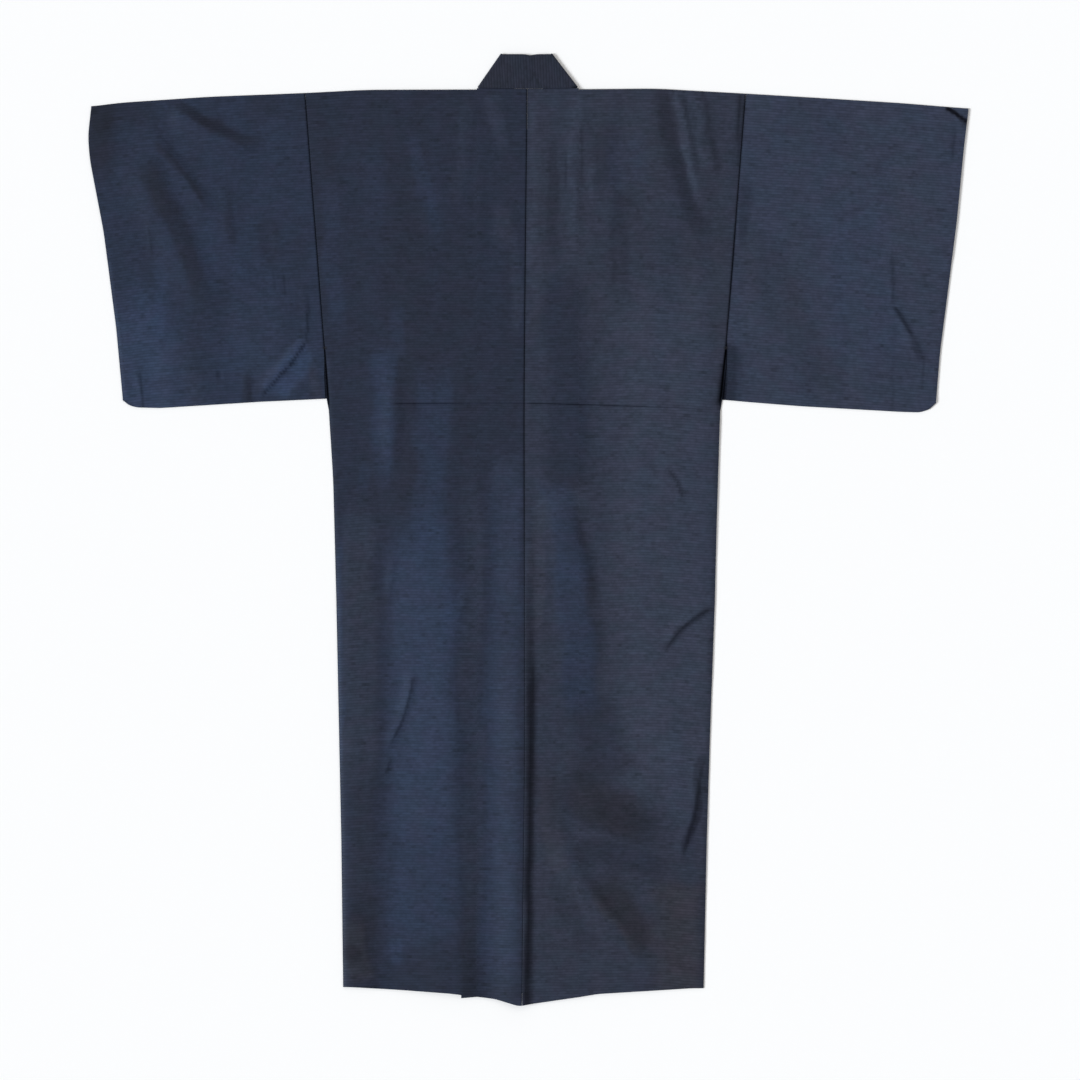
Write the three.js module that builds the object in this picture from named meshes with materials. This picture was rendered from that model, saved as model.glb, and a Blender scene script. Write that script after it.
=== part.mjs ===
// A man's kimono laid flat with its back up, in millimetres.
// While it is laid out, x runs to the viewer's right, y towards the collar from the shoulder line,
// and z is the height over the surface. At the end the group is centred over its own outline.
import * as THREE from 'three';

// Cloth
const clothWall = 1.2;
const collarWall = 1.5;
const seamGap = 0.3;
const layerGap = 0.4;

// Body: the centre seam, the neck and the lengths down from the shoulder line
const neckLeft = -77;
const neckRight = 86;
const neckY = 3;
const neckSag = 1.2;
const frontPanelWidth = 240;
const overlapPointDrop = 205;
const overlapTopDrop = 230;
const collarEndDrop = 690;
const frontEdgeLeft = 98;
const frontEdgeRight = -102;

// Collar: its width across the back of the neck and the way it leaves the neck on each front
const collarWidth = 55;
const collarTopY = 57;
const collarSettle = 150;
const collarSlantEase = 155;
const collarUnder = 3.6;

// Heights: the back lies higher over the middle, where the two fronts and the collar lie below it
const middleUnder = 3.7;
const middleReach = 180;
const sideReach = 285;
const frontLift = collarWall + seamGap;
const liftStart = 25;
const liftRun = 50;
const edgeSoftness = 25;
const hemEase = 1.25;

// The centre back seam: where it lies at each height
const centreSeam = [
  { y: 10, x: 4 },
  { y: -272, x: 1 },
  { y: -496, x: -1 },
  { y: -1056, x: 0 },
  { y: -1296, x: -3 },
  { y: -1470, x: -5 },
];

// Side edges of the body below the shoulder, the upper 420 mm sewn to the sleeves
const sideLeft = [
  { y: 0, x: -352 },
  { y: -420, x: -320 },
  { y: -496, x: -315 },
  { y: -624, x: -307 },
  { y: -816, x: -302 },
  { y: -1008, x: -298 },
  { y: -1200, x: -294 },
  { y: -1436, x: -291 },
];
const sideRight = [
  { y: 0, x: 354 },
  { y: -420, x: 321 },
  { y: -496, x: 313 },
  { y: -688, x: 307 },
  { y: -816, x: 304 },
  { y: -1008, x: 297 },
  { y: -1200, x: 291 },
  { y: -1436, x: 286 },
];

// Sleeve edges beside the body: sewn to it at first, then free, with a slit that widens
const sleeveInnerLeft = [
  { y: 0, x: -352 },
  { y: -420, x: -320 },
  { y: -500, x: -317.5 },
];
const sleeveInnerRight = [
  { y: 0, x: 354 },
  { y: -420, x: 321 },
  { y: -500, x: 317 },
];
const cuffLeft = [
  { y: -20, x: -693 },
  { y: -74, x: -699 },
  { y: -112, x: -696 },
  { y: -227, x: -674 },
  { y: -381, x: -654 },
  { y: -510, x: -642 },
];
const cuffRight = [
  { y: -28, x: 710 },
  { y: -93, x: 702 },
  { y: -208, x: 691 },
  { y: -342, x: 674 },
  { y: -419, x: 664 },
  { y: -518, x: 656 },
];
const sleeveBottomLeft = [
  { x: -643, y: -494 },
  { x: -637, y: -503 },
  { x: -622, y: -508 },
  { x: -584, y: -509 },
  { x: -424, y: -499 },
  { x: -317, y: -494 },
];
const sleeveBottomRight = [
  { x: 315, y: -496 },
  { x: 440, y: -506 },
  { x: 600, y: -515 },
  { x: 632, y: -516 },
  { x: 650, y: -510 },
  { x: 658, y: -498 },
];

// The shoulder fold, right across both sleeves and the body
const shoulderLine = [
  { x: -694, y: -27 },
  { x: -654, y: -21 },
  { x: -506, y: -11 },
  { x: -352, y: -5 },
  { x: -258, y: 0 },
  { x: 88, y: 1 },
  { x: 210, y: 2 },
  { x: 354, y: -6 },
  { x: 472, y: -13 },
  { x: 600, y: -21 },
  { x: 710, y: -30 },
];

// Hem of the back, and the two front hems that lie under it
const backHem = [
  { x: -291, y: -1435 },
  { x: -200, y: -1440 },
  { x: -123, y: -1445 },
  { x: -46, y: -1454 },
  { x: -6, y: -1465 },
  { x: 53, y: -1456 },
  { x: 120, y: -1446 },
  { x: 286, y: -1437 },
];
const frontHemLeft = [
  { x: -291, y: -1430 },
  { x: 98, y: -1438 },
];
const frontHemRight = [
  { x: -102, y: -1453 },
  { x: 0, y: -1444 },
  { x: 286, y: -1432 },
];

// Folds of the cloth, each a soft ridge along a line that may bow to the right of its way.
// left and right are the widths of its two slopes; start and finish are the parts of its length
// over which it rises from nothing and dies away.
const folds = [
  // Back, left half
  { fromX: 2, fromY: -560, toX: -4, toY: -1470, bow: 0, left: 62, right: 22, rise: 8, start: 0.5, finish: 0 },
  { fromX: -126, fromY: -430, toX: -106, toY: -1470, bow: 0, left: 112, right: 46, rise: 7, start: 0.35, finish: 0 },
  { fromX: -280, fromY: -620, toX: -272, toY: -1470, bow: 0, left: 16, right: 56, rise: 4.5, start: 0.3, finish: 0 },
  { fromX: -212, fromY: -420, toX: -218, toY: -640, bow: 4, left: 26, right: 22, rise: 2.4, start: 0.4, finish: 0.5 },
  { fromX: -174, fromY: -930, toX: -216, toY: -1090, bow: 8, left: 14, right: 16, rise: 1.6, start: 0.4, finish: 0.4 },
  // Back, right half
  { fromX: 34, fromY: -590, toX: 150, toY: -1050, bow: 14, left: 46, right: 24, rise: 4.5, start: 0.25, finish: 0.4 },
  { fromX: 26, fromY: -1110, toX: 176, toY: -1370, bow: -14, left: 34, right: 30, rise: 4, start: 0.4, finish: 0.4 },
  { fromX: 288, fromY: -835, toX: 226, toY: -905, bow: 0, left: 18, right: 16, rise: 2, start: 0.3, finish: 0.5 },
  { fromX: 286, fromY: -1080, toX: 246, toY: -1260, bow: 0, left: 22, right: 22, rise: 2.6, start: 0.3, finish: 0.5 },
  { fromX: 206, fromY: 10, toX: 262, toY: -250, bow: 0, left: 80, right: 20, rise: 3, start: 0.1, finish: 0.5 },
  { fromX: 264, fromY: 10, toX: 318, toY: -260, bow: 4, left: 20, right: 34, rise: 3.4, start: 0.1, finish: 0.5 },
  { fromX: 70, fromY: -20, toX: 78, toY: -330, bow: 0, left: 26, right: 22, rise: 1.6, start: 0.3, finish: 0.6 },
  // Left sleeve
  { fromX: -560, fromY: -18, toX: -430, toY: -108, bow: 0, left: 46, right: 16, rise: 3, start: 0.3, finish: 0.5 },
  { fromX: -604, fromY: -62, toX: -484, toY: -226, bow: 6, left: 52, right: 20, rise: 3.6, start: 0.35, finish: 0.5 },
  { fromX: -616, fromY: -140, toX: -516, toY: -390, bow: 8, left: 66, right: 28, rise: 3.4, start: 0.35, finish: 0.5 },
  { fromX: -412, fromY: -470, toX: -352, toY: -414, bow: 0, left: 16, right: 14, rise: 2, start: 0.4, finish: 0.4 },
  // Right sleeve
  { fromX: 340, fromY: -226, toX: 486, toY: -330, bow: 6, left: 34, right: 32, rise: 2.2, start: 0.3, finish: 0.5 },
  { fromX: 586, fromY: -330, toX: 642, toY: -452, bow: 0, left: 22, right: 22, rise: 2.4, start: 0.4, finish: 0.4 },
  { fromX: 594, fromY: -60, toX: 610, toY: -330, bow: 0, left: 30, right: 30, rise: 1.6, start: 0.4, finish: 0.4 },
];

// Places across a body half: shares of the way from the side edge to the neck, then to the seam
const outerSharesLeft = [0, 0.05, 0.12, 0.22, 0.34, 0.46, 0.58, 0.7, 0.84, 0.92, 1];
const innerSharesLeft = [0.18, 0.45, 0.75, 1];
const outerSharesRight = [0, 0.06, 0.15, 0.26, 0.38, 0.5, 0.62, 0.74, 0.87, 1];
const innerSharesRight = [0.25, 0.5, 0.74, 0.88, 1];
const backRows = 38;
const sleeveBackRows = 22;
const sleeveFrontRows = 6;
const sleeveStations = 13;
const overlapColumns = 4;
const collarColumns = 3;
const collarBackSections = 7;
const turnSteps = 4;

// Lengths down the fronts where the panels, the overlap panels and the collar share their seam points
const sleeveSeamDrop = 423;
const collarDrops = [0, 25, 60, 105, 155, overlapPointDrop, overlapTopDrop, 310, sleeveSeamDrop, 550, collarEndDrop];
const lowerDrops = [collarEndDrop + 1, 800, 1000, 1200];

const clothFinish = { roughness: 0.62, metalness: 0 };
const indigo = 0x363e4f;
const collarIndigo = 0x2a2e3c;

const { clamp, lerp } = THREE.MathUtils;

function smooth(share) {
  const t = clamp(share, 0, 1);
  return t * t * (3 - 2 * t);
}

// Straight interpolation in a table whose rows are ordered along one named column
function lookUp(table, along, wanted, value) {
  const rising = table[table.length - 1][along] > table[0][along] ? 1 : -1;
  for (let k = 1; k < table.length; k += 1) {
    const before = table[k - 1];
    const after = table[k];
    if (rising * value <= rising * after[along] || k === table.length - 1) {
      const share = clamp((value - before[along]) / (after[along] - before[along]), 0, 1);
      return lerp(before[wanted], after[wanted], share);
    }
  }
  return table[0][wanted];
}

const xAt = (table, y) => lookUp(table, 'y', 'x', y);
const yAt = (table, x) => lookUp(table, 'x', 'y', x);
const shoulderY = (x) => yAt(shoulderLine, x);

// Height that one fold adds at a place
function foldRise(fold, x, y) {
  const alongX = fold.toX - fold.fromX;
  const alongY = fold.toY - fold.fromY;
  const length = Math.hypot(alongX, alongY);
  const offX = x - fold.fromX;
  const offY = y - fold.fromY;
  const share = (offX * alongX + offY * alongY) / (length * length);
  const middle = clamp(share, 0, 1);
  const aside = (offY * alongX - offX * alongY) / length - fold.bow * 4 * middle * (1 - middle);
  const width = aside < 0 ? fold.left : fold.right;
  const across = (1 + Math.cos(Math.PI * Math.min(Math.abs(aside) / width, 1))) / 2;
  const rising = smooth(share / fold.start);
  const dying = fold.finish > 0 ? smooth((1 - share) / fold.finish) : 1;
  return fold.rise * across * rising * dying;
}

function relief(x, y) {
  const shoulderFade = smooth((shoulderY(x) - y) / edgeSoftness);
  return shoulderFade * folds.reduce((height, fold) => height + foldRise(fold, x, y), 0);
}

// Underside of the back where it has no fold
function backUnder(x) {
  const share = smooth((Math.abs(x) - middleReach) / (sideReach - middleReach));
  return lerp(middleUnder, clothWall + layerGap, share);
}

const backTop = (x, y) => backUnder(x) + clothWall + relief(x, y);

// The seam of the collar on a front: side is -1 on the left front and 1 on the right one.
// It leaves the neck on the slant of the folded collar and settles to a steeper line below.
const collarRuns = {
  left: { side: -1, neckX: neckLeft, leave: 0.404, foot: frontEdgeLeft },
  right: { side: 1, neckX: neckRight, leave: 0.29, foot: frontEdgeRight },
};

function settledSlope(run) {
  const inward = run.side * (run.neckX - run.foot) - collarWidth;
  const eased = collarSettle * (1 - Math.exp(-collarEndDrop / collarSettle));
  return (inward - run.leave * eased) / (collarEndDrop - eased);
}

function collarSeam(run, drop) {
  const settled = settledSlope(run);
  if (drop < 0) {
    return { x: run.neckX - run.side * run.leave * drop, slope: run.leave };
  }
  const fading = Math.exp(-drop / collarSettle);
  const inward = settled * drop + (run.leave - settled) * collarSettle * (1 - fading);
  return { x: run.neckX - run.side * inward, slope: settled + (run.leave - settled) * fading };
}

// A place on the collar of one front, across mm in from its seam
function collarPlace(run, drop, across) {
  const seam = collarSeam(run, drop);
  const stretch = Math.hypot(1, seam.slope);
  const x = seam.x - (run.side * across) / stretch;
  const y = neckY - drop + (across * seam.slope) / stretch;
  return { x, y };
}

// How far the left front and its collar reach to the right at a height
function leftReach(y) {
  const drop = neckY - y;
  if (drop > collarEndDrop) {
    return frontEdgeLeft;
  }
  const seam = collarSeam(collarRuns.left, drop);
  return seam.x + collarWidth * Math.hypot(1, seam.slope);
}

// Underside of each front: the left one lies on the surface, the right one climbs over it
function frontUnder(side, x, y) {
  if (side < 0) {
    return 0;
  }
  return frontLift * (1 - smooth((x - leftReach(y) - liftStart) / liftRun));
}

// A closed wall between an outer and an inner grid of points, over the cells that the piece has.
// wrapped joins the last column to the first, so that the wall is a tube.
function wallGeometry({ rows, columns, outer, inner, hasCell = () => true, wrapped = false }) {
  const positions = [];
  const numbers = new Map();
  const corner = (layer, i, j) => {
    const column = wrapped ? j % columns : j;
    const key = `${layer} ${i} ${column}`;
    if (!numbers.has(key)) {
      const point = layer === 'outer' ? outer(i, column) : inner(i, column);
      numbers.set(key, positions.length / 3);
      positions.push(...point);
    }
    return numbers.get(key);
  };
  const cellColumns = wrapped ? columns : columns - 1;
  const present = (i, j) => {
    const column = wrapped ? (j + columns) % columns : j;
    const inside = i >= 0 && i < rows - 1 && column >= 0 && column < cellColumns;
    return inside && hasCell(i, column);
  };
  const indices = [];
  const quad = (a, b, c, d) => indices.push(a, b, c, a, c, d);
  const rim = (i, j, nextI, nextJ) => {
    quad(corner('outer', nextI, nextJ), corner('outer', i, j), corner('inner', i, j), corner('inner', nextI, nextJ));
  };
  for (let i = 0; i < rows - 1; i += 1) {
    for (let j = 0; j < cellColumns; j += 1) {
      if (!present(i, j)) {
        continue;
      }
      const around = [[i, j], [i, j + 1], [i + 1, j + 1], [i + 1, j]];
      quad(...around.map(([a, b]) => corner('outer', a, b)));
      quad(...around.reverse().map(([a, b]) => corner('inner', a, b)));
      if (!present(i - 1, j)) rim(i, j, i, j + 1);
      if (!present(i, j + 1)) rim(i, j + 1, i + 1, j + 1);
      if (!present(i + 1, j)) rim(i + 1, j + 1, i + 1, j);
      if (!present(i, j - 1)) rim(i + 1, j, i, j);
    }
  }
  return outwardGeometry(positions, indices);
}

// Turns every face round if the wall came out inside out
function outwardGeometry(positions, indices) {
  const a = new THREE.Vector3();
  const b = new THREE.Vector3();
  const c = new THREE.Vector3();
  let volume = 0;
  for (let k = 0; k < indices.length; k += 3) {
    a.fromArray(positions, indices[k] * 3);
    b.fromArray(positions, indices[k + 1] * 3);
    c.fromArray(positions, indices[k + 2] * 3);
    volume += a.dot(b.cross(c));
  }
  const geometry = new THREE.BufferGeometry();
  geometry.setAttribute('position', new THREE.Float32BufferAttribute(positions, 3));
  geometry.setIndex(volume < 0 ? indices.reverse() : indices);
  geometry.computeVertexNormals();
  return geometry;
}

function clothMesh(name, geometry, color) {
  const material = new THREE.MeshStandardMaterial({ color, ...clothFinish });
  const mesh = new THREE.Mesh(geometry, material);
  mesh.name = name;
  return mesh;
}

// The seam between a front panel and its overlap panel: from the collar to the hem
function overlapSeamX(run, y) {
  const edges = run.side < 0 ? sideLeft : sideRight;
  const hemCorner = edges[edges.length - 1];
  const topX = collarSeam(run, overlapPointDrop).x;
  const topY = neckY - overlapPointDrop;
  const hemX = hemCorner.x - run.side * frontPanelWidth;
  return lerp(topX, hemX, (topY - y) / (topY - hemCorner.y));
}

// Inner edge of a front panel: the collar seam, then the overlap seam
function panelInnerX(run, y) {
  const drop = neckY - y;
  const onCollar = drop <= overlapPointDrop;
  const x = onCollar ? collarSeam(run, Math.max(drop, 0)).x : overlapSeamX(run, y);
  return x + run.side * seamGap;
}

// One half of the body: a single length of cloth from the back hem, over the shoulder, to the
// front hem. Its columns run from the side edge to the neck and, on the back only, to the seam.
function bodyHalf(name, run, outerShares, innerShares) {
  const { side } = run;
  const edges = side < 0 ? sideLeft : sideRight;
  const frontHem = side < 0 ? frontHemLeft : frontHemRight;
  const frontDrops = [...collarDrops.slice(1), ...lowerDrops];
  const neckColumn = outerShares.length - 1;
  const columns = outerShares.length + innerShares.length;
  const foldRow = backRows;
  const frontRow = foldRow + turnSteps;
  const rows = frontRow + frontDrops.length + 2;
  const neckEdge = run.neckX + side * seamGap;

  const backX = (j, y) => {
    const seam = xAt(centreSeam, y) + (side * seamGap) / 2;
    const edge = xAt(edges, y) - (side * seamGap) / 2;
    if (j <= neckColumn) {
      return lerp(edge, neckEdge, outerShares[j]);
    }
    return lerp(neckEdge, seam, innerShares[j - neckColumn - 1]);
  };
  const turn = (j) => {
    const nearX = backX(j, 0);
    const top = backTop(nearX, shoulderY(nearX));
    const under = frontUnder(side, nearX, shoulderY(nearX));
    const radius = (top - under) / 2;
    const y = shoulderY(nearX) - radius;
    return { x: backX(j, y), y, radius, height: (top + under) / 2 };
  };
  const neckLine = (x) => {
    const share = (x - (neckLeft + neckRight) / 2) / ((neckRight - neckLeft) / 2);
    return neckY - seamGap - neckSag * (1 - share * share);
  };
  const backPoint = (i, j) => {
    const share = 1 - Math.pow(1 - i / backRows, hemEase);
    const across = backX(j, 0);
    const top = j > neckColumn ? neckLine(across) : turn(j).y;
    const guess = lerp(-1440, 0, share);
    const y = lerp(yAt(backHem, backX(j, guess)), top, share);
    const x = backX(j, y);
    return { x, y, z: backTop(x, y) };
  };
  const frontPoint = (i, j) => {
    const row = i - frontRow - 1;
    const last = row === frontDrops.length;
    const hemCorner = edges[edges.length - 1];
    const level = last ? yAt(frontHem, hemCorner.x) : neckY - frontDrops[row];
    const edge = xAt(edges, level) - (side * seamGap) / 2;
    const x = lerp(edge, panelInnerX(run, level), outerShares[j]);
    const y = last ? yAt(frontHem, x) : level;
    return { x, y, z: frontUnder(side, x, y) };
  };
  const layered = (depth) => (i, j) => {
    if (i <= foldRow) {
      const { x, y, z } = backPoint(i, j);
      return [x, y, z - depth];
    }
    if (i <= frontRow) {
      const { x, y, radius, height } = turn(j);
      const angle = (Math.PI * (i - foldRow)) / turnSteps;
      const reach = radius - depth;
      return [x, y + reach * Math.sin(angle), height + reach * Math.cos(angle)];
    }
    const { x, y, z } = frontPoint(i, j);
    return [x, y, z + depth];
  };
  const geometry = wallGeometry({
    rows,
    columns,
    outer: layered(0),
    inner: layered(clothWall),
    hasCell: (i, j) => j < neckColumn || i < foldRow,
  });
  return clothMesh(name, geometry, indigo);
}

// The overlap panel of one front: from its point at the collar to the hem
function overlapPanel(name, run) {
  const { side } = run;
  const frontHem = side < 0 ? frontHemLeft : frontHemRight;
  const drops = [...collarDrops.filter((drop) => drop >= overlapTopDrop), ...lowerDrops];
  const innerX = (drop) => {
    const onCollar = drop <= collarEndDrop;
    return onCollar ? collarSeam(run, drop).x + side * seamGap : run.foot;
  };
  const place = (i, j) => {
    const last = i === drops.length;
    const hemLevel = yAt(frontHem, run.foot);
    const level = last ? hemLevel : neckY - drops[i];
    const seam = overlapSeamX(run, level);
    const x = lerp(seam, innerX(neckY - level), j / overlapColumns);
    const y = last ? yAt(frontHem, x) : level;
    return { x, y, z: frontUnder(side, x, y) };
  };
  const layered = (depth) => (i, j) => {
    const { x, y, z } = place(i, j);
    return [x, y, z + depth];
  };
  const geometry = wallGeometry({
    rows: drops.length + 1,
    columns: overlapColumns + 1,
    outer: layered(0),
    inner: layered(clothWall),
  });
  return clothMesh(name, geometry, indigo);
}

// A sleeve: a flat tube from the body to the cuff, folded at the shoulder and closed below
function sleeve(name, side) {
  const innerEdge = side < 0 ? sleeveInnerLeft : sleeveInnerRight;
  const cuff = side < 0 ? cuffLeft : cuffRight;
  const bottom = side < 0 ? sleeveBottomLeft : sleeveBottomRight;
  const radius = clothWall + layerGap / 2;
  const around = sleeveBackRows + sleeveFrontRows + 2 * turnSteps;

  const plan = (station, down) => {
    const share = station / (sleeveStations - 1);
    const guess = lerp(-10, -505, down);
    const nearX = lerp(xAt(innerEdge, guess), xAt(cuff, guess), share);
    const y = lerp(shoulderY(nearX) - radius, yAt(bottom, nearX) + radius, down);
    const inner = xAt(innerEdge, y) + (side * seamGap) / 2;
    return { x: lerp(inner, xAt(cuff, y), share), y };
  };
  const top = ({ x, y }) => {
    const bottomFade = smooth((y - yAt(bottom, x) - radius) / edgeSoftness);
    const cuffFade = smooth(Math.abs(x - xAt(cuff, y)) / edgeSoftness);
    return 2 * radius + relief(x, y) * bottomFade * cuffFade;
  };
  const layered = (depth) => (i, j) => {
    const bottomTurn = j - sleeveBackRows;
    if (bottomTurn < 0) {
      const place = plan(i, j / sleeveBackRows);
      return [place.x, place.y, top(place) - depth];
    }
    if (bottomTurn < turnSteps) {
      const { x, y } = plan(i, 1);
      const angle = (Math.PI * bottomTurn) / turnSteps;
      const reach = radius - depth;
      return [x, y - reach * Math.sin(angle), radius + reach * Math.cos(angle)];
    }
    const frontStep = bottomTurn - turnSteps;
    if (frontStep < sleeveFrontRows) {
      const place = plan(i, 1 - frontStep / sleeveFrontRows);
      return [place.x, place.y, depth];
    }
    const { x, y } = plan(i, 0);
    const angle = (Math.PI * (frontStep - sleeveFrontRows)) / turnSteps;
    const reach = radius - depth;
    return [x, y + reach * Math.sin(angle), radius - reach * Math.cos(angle)];
  };
  const geometry = wallGeometry({
    rows: sleeveStations,
    columns: around,
    outer: layered(0),
    inner: layered(clothWall),
    wrapped: true,
  });
  return clothMesh(name, geometry, indigo);
}

// The sections of the collar on one front, from the neck to its end: each runs from the seam to
// the free edge, slanted with the fold at the neck and level at the end
function collarRunSections(run) {
  const leaveStretch = Math.hypot(1, run.leave);
  const slantAtNeck = collarTopY - neckY - (collarWidth * run.leave) / leaveStretch;
  const settled = settledSlope(run);
  const slantAtEnd = (-collarWidth * settled) / Math.hypot(1, settled);
  return collarDrops.map((drop) => {
    const neckShare = clamp(1 - drop / collarSlantEase, 0, 1);
    const endShare = smooth((drop - overlapTopDrop) / (collarEndDrop - overlapTopDrop));
    const slant = slantAtNeck * neckShare + slantAtEnd * endShare;
    return { seam: collarPlace(run, drop, 0), free: collarPlace(run, drop - slant, collarWidth) };
  });
}

// The collar: a folded strip along the back of the neck that turns under at each end and runs
// down the edge of each front
function collarMesh() {
  const runSections = {
    left: collarRunSections(collarRuns.left),
    right: collarRunSections(collarRuns.right),
  };
  const stripTop = collarUnder + collarWall;

  // Both faces of a section: the outer one is up on the back and down on the fronts
  const sections = [];
  const addFlat = (seam, free, heightAt, faceUp) => {
    const points = [];
    for (let j = 0; j <= collarColumns; j += 1) {
      const x = lerp(seam.x, free.x, j / collarColumns);
      const y = lerp(seam.y, free.y, j / collarColumns);
      const height = heightAt(x, y);
      const inner = faceUp ? height - collarWall : height + collarWall;
      points.push({ outer: [x, y, height], inner: [x, y, inner] });
    }
    sections.push(points);
  };
  // The turn at one end of the back strip, about the fold line from the seam to the free edge
  const turnOf = (key) => {
    const { seam, free } = runSections[key][0];
    const side = collarRuns[key].side;
    const length = Math.hypot(free.x - seam.x, free.y - seam.y);
    const outX = (side * (free.y - seam.y)) / length;
    const outY = (side * (seam.x - free.x)) / length;
    const under = frontUnder(side, seam.x, seam.y);
    const radius = (stripTop - under) / 2;
    const shift = (point) => ({ x: point.x - radius / outX, y: point.y });
    return { seam: shift(seam), free: shift(free), outX, outY, radius, height: (stripTop + under) / 2 };
  };
  const addTurn = (turn, angle) => {
    const points = [];
    for (let j = 0; j <= collarColumns; j += 1) {
      const x = lerp(turn.seam.x, turn.free.x, j / collarColumns);
      const y = lerp(turn.seam.y, turn.free.y, j / collarColumns);
      const at = (reach) => [
        x + turn.outX * reach * Math.sin(angle),
        y + turn.outY * reach * Math.sin(angle),
        turn.height + reach * Math.cos(angle),
      ];
      points.push({ outer: at(turn.radius), inner: at(turn.radius - collarWall) });
    }
    sections.push(points);
  };
  const runHeight = (side) => (x, y) => frontUnder(side, x, y);
  const leftTurn = turnOf('left');
  const rightTurn = turnOf('right');

  runSections.left.slice(1).reverse().forEach(({ seam, free }) => addFlat(seam, free, runHeight(-1), false));
  for (let step = turnSteps; step >= 0; step -= 1) {
    addTurn(leftTurn, (Math.PI * step) / turnSteps);
  }
  for (let k = 1; k < collarBackSections; k += 1) {
    const share = k / collarBackSections;
    const sag = neckSag * 4 * share * (1 - share);
    const seamX = lerp(leftTurn.seam.x, rightTurn.seam.x, share);
    const freeX = lerp(leftTurn.free.x, rightTurn.free.x, share);
    const seam = { x: seamX, y: lerp(leftTurn.seam.y, rightTurn.seam.y, share) - sag + 2 * seamGap };
    const free = { x: freeX, y: collarTopY };
    addFlat(seam, free, () => stripTop, true);
  }
  for (let step = 0; step <= turnSteps; step += 1) {
    addTurn(rightTurn, (Math.PI * step) / turnSteps);
  }
  runSections.right.slice(1).forEach(({ seam, free }) => addFlat(seam, free, runHeight(1), false));

  const geometry = wallGeometry({
    rows: sections.length,
    columns: collarColumns + 1,
    outer: (i, j) => sections[i][j].outer,
    inner: (i, j) => sections[i][j].inner,
  });
  return clothMesh('collar', geometry, collarIndigo);
}

const kimono = new THREE.Group();
kimono.add(bodyHalf('body_left', collarRuns.left, outerSharesLeft, innerSharesLeft));
kimono.add(bodyHalf('body_right', collarRuns.right, outerSharesRight, innerSharesRight));
kimono.add(sleeve('sleeve_left', -1));
kimono.add(sleeve('sleeve_right', 1));
kimono.add(overlapPanel('overlap_left', collarRuns.left));
kimono.add(overlapPanel('overlap_right', collarRuns.right));
kimono.add(collarMesh());

// The origin is under the middle of the outline, on the surface that it lies on
const box = new THREE.Box3().setFromObject(kimono);
const middle = box.getCenter(new THREE.Vector3());
kimono.position.set(-middle.x, -middle.y, -box.min.z);

export default kimono;
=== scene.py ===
"""A man's kimono in ribbed indigo silk, laid flat with its back up.

The sizes of the cut are in millimetres in the garment's own axes: x to the viewer's right, y towards
the collar from the shoulder line, z up from the surface. Every mesh is written in metres in the frame's
axes.
"""
import math

import bpy
import numpy as np
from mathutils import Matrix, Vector


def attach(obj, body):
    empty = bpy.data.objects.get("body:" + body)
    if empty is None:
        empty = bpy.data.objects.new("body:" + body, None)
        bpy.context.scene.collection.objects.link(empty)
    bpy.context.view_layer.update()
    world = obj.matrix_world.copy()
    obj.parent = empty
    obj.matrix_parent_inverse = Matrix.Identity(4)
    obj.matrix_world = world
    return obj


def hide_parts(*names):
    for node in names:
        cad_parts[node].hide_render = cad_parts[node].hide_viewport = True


bl_info = {
    "name": "Kimono laid flat",
    "version": (1, 0, 0),
    "blender": (4, 5, 0),
    "location": "View3D > Sidebar > Kimono",
    "description": "Ribbed silk panels, collar and sewing of a man's kimono laid flat, back up",
    "category": "Object",
}

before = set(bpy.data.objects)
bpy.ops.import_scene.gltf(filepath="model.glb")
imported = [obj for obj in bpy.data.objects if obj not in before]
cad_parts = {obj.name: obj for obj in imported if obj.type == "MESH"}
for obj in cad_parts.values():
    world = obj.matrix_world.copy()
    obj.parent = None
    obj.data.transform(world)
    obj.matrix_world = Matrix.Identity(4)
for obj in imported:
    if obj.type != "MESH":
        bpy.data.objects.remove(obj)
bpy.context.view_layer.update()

# Millimetres to metres, and where the garment's axes start in the frame
MM = 0.001
GARMENT_START = (-0.0054797, 0.7031307, 0.0)

# Walls of the frame's solids, whose outer faces the cloth follows
WALL = 1.2
COLLAR_WALL = 1.5
SEAM_GAP = 0.3
LAYER_GAP = 0.4

# Neck, collar and overlap panels
NECK_LEFT = -77.0
NECK_RIGHT = 86.0
NECK_Y = 3.0
NECK_SAG = 1.2
COLLAR_WIDTH = 55.0
COLLAR_TOP = 57.0
COLLAR_UNDER = 3.6
COLLAR_SETTLE = 150.0
COLLAR_SLANT_EASE = 155.0
COLLAR_END = 690.0
OVERLAP_POINT = 205.0
OVERLAP_TOP = 222.0
FRONT_PANEL = 240.0
FRONT_EDGE = {-1: 98.0, 1: -102.0}
NECK_X = {-1: NECK_LEFT, 1: NECK_RIGHT}
COLLAR_LEAVE = {-1: 0.404, 1: 0.29}

# The shares that a cloth mesh carries at its points: of blue, pale and brown warp, which partly paint
# sheen and shade, and of painted shade
SHARES = ("blue", "pale", "brown", "shade")

# Hand sewing
STITCH_RADIUS = 0.32
STITCH_STEP = 13.0

# How far the upper layer of each sleeve stands off the body at the lower end of its slit
SLIT = {-1: 3.0, 1: 7.0}

# Where the seam between sleeve and body ends, and over how far its edges change there
SEAM_END = -424.0
SEAM_END_RUN = 16.0

# How far from a sleeve's seam the moves of its edge die away
SLEEVE_EASE = 45.0

# How many cells the lattice of the soft noise has before it repeats
LATTICE = 97

# Heights of the layers
MIDDLE_UNDER = 3.7
MIDDLE_REACH = 180.0
SIDE_REACH = 285.0
FRONT_LIFT = COLLAR_WALL + SEAM_GAP
LIFT_START = 25.0
LIFT_RUN = 50.0
EDGE_SOFTNESS = 25.0

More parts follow.
